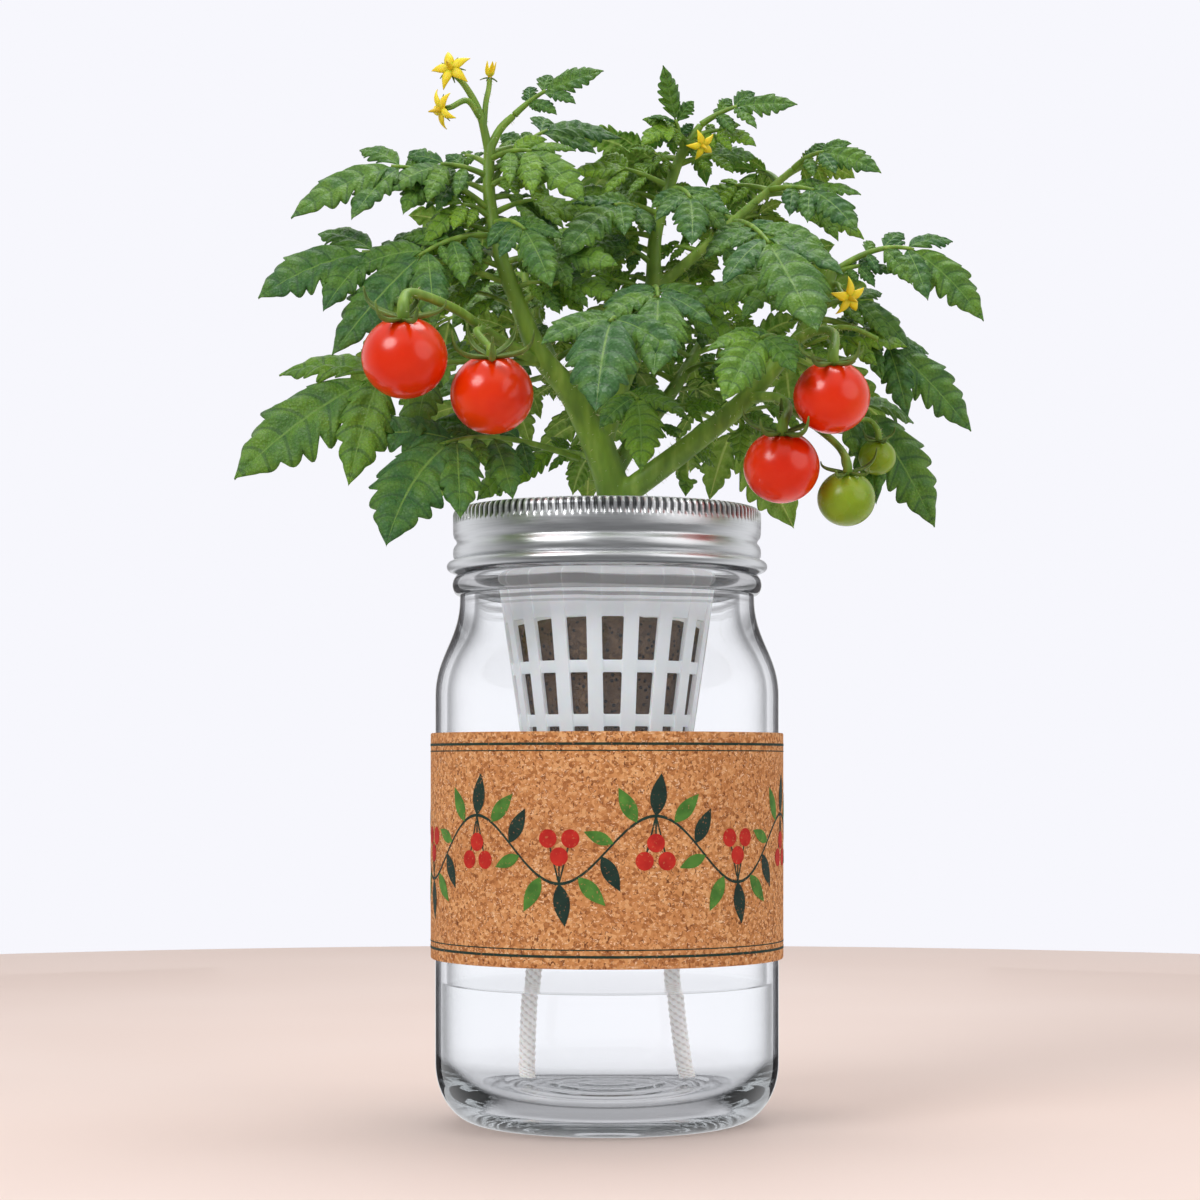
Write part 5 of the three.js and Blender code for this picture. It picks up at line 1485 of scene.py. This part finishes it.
def in_the_way(spot):
    """Whether a point of a young leaf hides the fork, a stem, a fruit or a flower, or leaves the crown."""
    x, y, z = spot
    if abs(x) < FORK_HALF and z < FORK_TOP and y < FORK_BACK:
        return True
    if z < CROWN_LOW or z > CROWN_HIGH or abs(y) > CROWN_HALF_DEPTH or abs(x) > CROWN_HALF_WIDTH:
        return True
    before = BARE_STEMS[:, 1] + BARE_BACK > y
    if np.any(before & (np.hypot(BARE_STEMS[:, 0] - x, BARE_STEMS[:, 2] - z) < BARE_SIDE)):
        return True
    return any(math.hypot(x - at[0], z - at[2]) < clear and y < at[1] + clear for at, clear in clear_spots)


INNER_STEPS = 60  # points of a branch to start from
INNER_FROM, INNER_SPAN = 0.2, 0.78  # shares of a branch's length
INNER_TURN = 2.4  # radians from each young leaf to the next
inner_count = 0
for order, (branch, count) in enumerate(INNER_BRANCHES):
    line = smooth_line(branch, INNER_STEPS)
    sprays = []
    for i in range(count):
        start = line[int(INNER_STEPS * (INNER_FROM + INNER_SPAN * (i + 0.5) / count))]
        turn = INNER_TURN * i + inner_draw.uniform(-0.5, 0.5) + order
        out = np.array((math.cos(turn), 0.8 * math.sin(turn), 0))
        long = inner_draw.uniform(18, 38)
        elbow = start + out * long * 0.6 + np.array((0, 0, long * inner_draw.uniform(0.12, 0.45)))
        tip = start + out * long + np.array((0, 0, long * inner_draw.uniform(-0.45, 0.15)))
        if any(in_the_way(spot) for spot in bezier(start, elbow, tip, (0.45, 0.6, 0.8, 1.0))):
            continue
        arch = grown([tuple(start), tuple(elbow), tuple(tip)])
        # Painted light: the fresher tones stand for light that comes through the young leaves from behind.
        sprays.append(compound_leaf(*arch, inner_draw.uniform(0.2, 0.95), young=True))
    inner_count += len(sprays)
    settle(merge(sprays), f"foliage_inner_{order}", "plant", "leaf")
print("inner leaves", inner_count)

# %% [markdown]
# ## The trusses
# Fruit hangs on arched stalks with a crown of thin sepals that curl upwards. Each stalk is rolled through
# its points to the dimple of its fruit. A narrow master blade makes the sepals, five to a fruit.

# %% Sepal and petal masters
LANCE_COLUMNS = 12


def lance_master(half_width, fullness, cup_depth):
    master, column, across = grid_master(LANCE_COLUMNS, 4)
    u = column / LANCE_COLUMNS
    half = half_width * np.sin(math.pi * np.clip(u, 0.02, 0.995) ** fullness) ** 0.9
    return shaped_master(master, np.stack([u, across * half, cup_depth * half * across**2], axis=1), u)


sepal = lance_master(0.05, 0.55, 1.4)
petal = lance_master(0.2, 0.6, -0.5)

# %% Trusses
TRUSSES = {  # points of each stalk, radius at its root and end, fruit
    "truss_left": [
        ([(-20, -7, 74), (-30, -18, 78), (-42, -36, 84), (-53, -46, 86)], 2.0, 1.3, "tomato_left_outer"),
        ([(-34, -24, 80), (-35, -36, 77), (-32, -40, 73)], 1.3, 1.1, "tomato_left_inner"),
    ],
    "truss_right_upper": [
        ([(52, -16, 78), (57, -28, 79), (61, -40, 76)], 1.7, 1.2, "tomato_right_upper"),
        ([(56, -26, 79), (66, -27, 80), (74, -26, 77)], 1.1, 0.7, None),
    ],
    "truss_right_lower": [
        ([(40, -12, 63), (47, -25, 61), (49, -34, 57)], 1.7, 1.2, "tomato_right_lower"),
        ([(45, -21, 62), (54, -27, 55), (63, -30, 47)], 1.2, 1.0, "tomato_green"),
        ([(56, -28, 53), (66, -22, 55), (73, -15, 56)], 0.8, 0.7, "tomato_green_small"),
    ],
}
SEPALS, SEPAL_THICKNESS = 5, 0.3
TRUSS_HAIRS, TRUSS_HAIR_LENGTH = 90, 1.3
truss_draw = random.Random(3)


def sepal_crown(foot, size):
    """Five thin sepals that lie on the fruit's shoulder and curl up at their ends."""
    crown = []
    for k in range(SEPALS):
        turn = 2 * math.pi * (k + truss_draw.uniform(-0.15, 0.15)) / SEPALS + size
        out = np.array((math.cos(turn), math.sin(turn), 0))
        long = size * truss_draw.uniform(1.05, 1.35)
        lift = truss_draw.uniform(0.3, 0.7)
        rib = [(0, 0, 0.3), out * long * 0.85, out * long * 0.8 + np.array((0, 0, lift * long))]
        rib = [np.array(grown([tuple(foot + leaned(p)[0])])[0]) for p in rib]
        crown.append(laid(sepal, rib, long * 1.1, leaned((0, 0, 1))[0], 0.5))
    return crown


for node, stems in TRUSSES.items():
    parts = []
    sepals = []
    for points, root_r, end_r, fruit in stems:
        line = [np.array(p, float) for p in points]
        if fruit:
            place, size = TOMATOES[fruit]
            rise = size * FLATNESS * (1 - DIMPLE) + 0.3
            line.append(leaned((0, 0, rise + 2.5))[0] + place)
            foot = leaned((0, 0, rise))[0] + place
            line.append(foot)
            sepals += sepal_crown(foot, size)
        radii = (root_r, (root_r + end_r) / 2, end_r, end_r, end_r * 1.35 if fruit else end_r)
        parts.append(stalk(grown([tuple(p) for p in line]), radii, 14 * len(line)))
    stalks = set_faces(coat(merge(parts), stem_finish.material), "use_smooth", True)
    stalks = with_hairs(stalks, TRUSS_HAIRS, TRUSS_HAIR_LENGTH)
    crown = thicken(coat(merge(sepals), calyx.material), SEPAL_THICKNESS)
    settle(merge([stalks, crown]), node + "_stalks", "plant", "stem", node)

# %% [markdown]
# ## The flowers
# Tomato flowers are small yellow stars: narrow petals that bend back, round a cone of joined anthers. The
# petals come from one master, each laid along a rib that leaves the centre and curls away from the face.

# %% Flower finishes
yellow = Finish("petal", Roughness=0.5, Subsurface_Weight=0.25, Subsurface_Scale=0.0015)
throat = yellow.span(yellow.attribute("vein"), 0.0, 0.35)
streak = yellow.span(yellow.grain(300, 2), 0.35, 0.7, 0.0, 0.3)
petal_tone = yellow.mixed(throat, solid(206, 206, 40), solid(252, 218, 22))
yellow.set(Base_Color=yellow.mixed(streak, petal_tone, solid(255, 232, 80)))
yellow.relief(yellow.grain(500, 2), 0.06, 0.2)

amber = Finish("anther_cone", Roughness=0.45)
amber.set(Base_Color=amber.ramp(amber.grain(600, 3), (0.3, paint(214, 176, 20)), (0.7, paint(240, 206, 40))))
amber.relief(amber.grain(900, 2), 0.08, 0.4)

# %% Flower stalks
FLOWER_STALKS = [  # points, radius at the root and the end
    ([(-33, -6, 132), (-36, -7, 144), (-40, -8, 151), *flower_end("flower_top")], 1.3, 0.75),
    ([(-35.6, -7, 142), (-39, -10, 146), *flower_end("flower_side")], 0.9, 0.75),
    ([(-34.6, -6.6, 139), (-34, -5, 147), *flower_end("flower_bud")], 0.9, 0.75),
]
FLOWER_HAIRS, FLOWER_HAIR_LENGTH = 60, 0.9
parts = [stalk(grown(points), (a, b), 40) for points, a, b in FLOWER_STALKS]
flower_stems = set_faces(coat(merge(parts), stem_finish.material), "use_smooth", True)
flower_stems = with_hairs(flower_stems, FLOWER_HAIRS, FLOWER_HAIR_LENGTH)
settle(flower_stems, "flower_slim_stalks", "plant", "stem", "flower_stalks")

# %% Flowers
def star_arm(master, middle, out, front, size, bend_up, reach_out, curl):
    """A petal or sepal that leaves the flower's middle and bends back."""
    root = middle + front * 0.3 + out * 0.3
    bend = middle + out * size * 0.6 * reach_out + front * size * bend_up
    tip = middle + out * size * reach_out + front * size * curl
    return laid(master, (root, bend, tip), size * 1.15, front, 0.5)


PETALS, PETAL_THICKNESS = 5, 0.25
OPEN_ARM = (0.32, 1.0, -0.22)  # bend, reach and curl over the arm's size
BUD_ARM = (0.55, 0.35, 1.1)
SEPAL_ARM = (0.05, 0.9, -0.15)
FLOWER_FINISHES = (yellow.material, calyx.material, amber.material)
OF_PETAL, OF_SEPAL, OF_CONE = range(3)  # numbers of those finishes
for order, (node, (back, way, size)) in enumerate(FLOWERS.items()):
    middle = np.array(grown([back])[0], float)
    front = unit(np.array(way, float))
    right = unit(np.cross(front, (0.12, 0.3, 1)))
    over = np.cross(front, right)
    arms = []
    for k in range(2 * PETALS):
        turn = math.pi * k / PETALS + order
        out = right * math.cos(turn) + over * math.sin(turn)
        if k % 2:
            arm = star_arm(sepal, middle - front * 0.5, out, front, size * 0.75, *SEPAL_ARM)
        else:
            arm = star_arm(petal, middle, out, front, size, *(BUD_ARM if node == "flower_bud" else OPEN_ARM))
        coat(arm, *FLOWER_FINISHES)
        arms.append(set_faces(arm, "material_index", OF_SEPAL if k % 2 else OF_PETAL))
    star = modify(merge(arms), "SOLIDIFY", thickness=PETAL_THICKNESS * MM, offset=0)

    def cone_radius(angle, place):
        return size * (0.15 - 0.12 * place**1.3) * (1 + 0.1 * np.cos(PETALS * angle))

    cone = rolled([middle + front * size * share for share in np.linspace(0.0, 0.72, 12)], 15, cone_radius)
    set_faces(coat(cone, *FLOWER_FINISHES), "material_index", OF_CONE)
    set_faces(cone, "use_smooth", True)
    settle(merge([star, cone]), node + "_open", "plant", "petal", node)

# %% [markdown]
# ## Clearing up
# The master blades have done their work and go.

# %% Clear up and finish
for master in [*large_leaflets, *side_leaflets, *small_leaflets, *young_leaflets, sepal, petal]:
    bpy.data.objects.remove(master)
put_down()
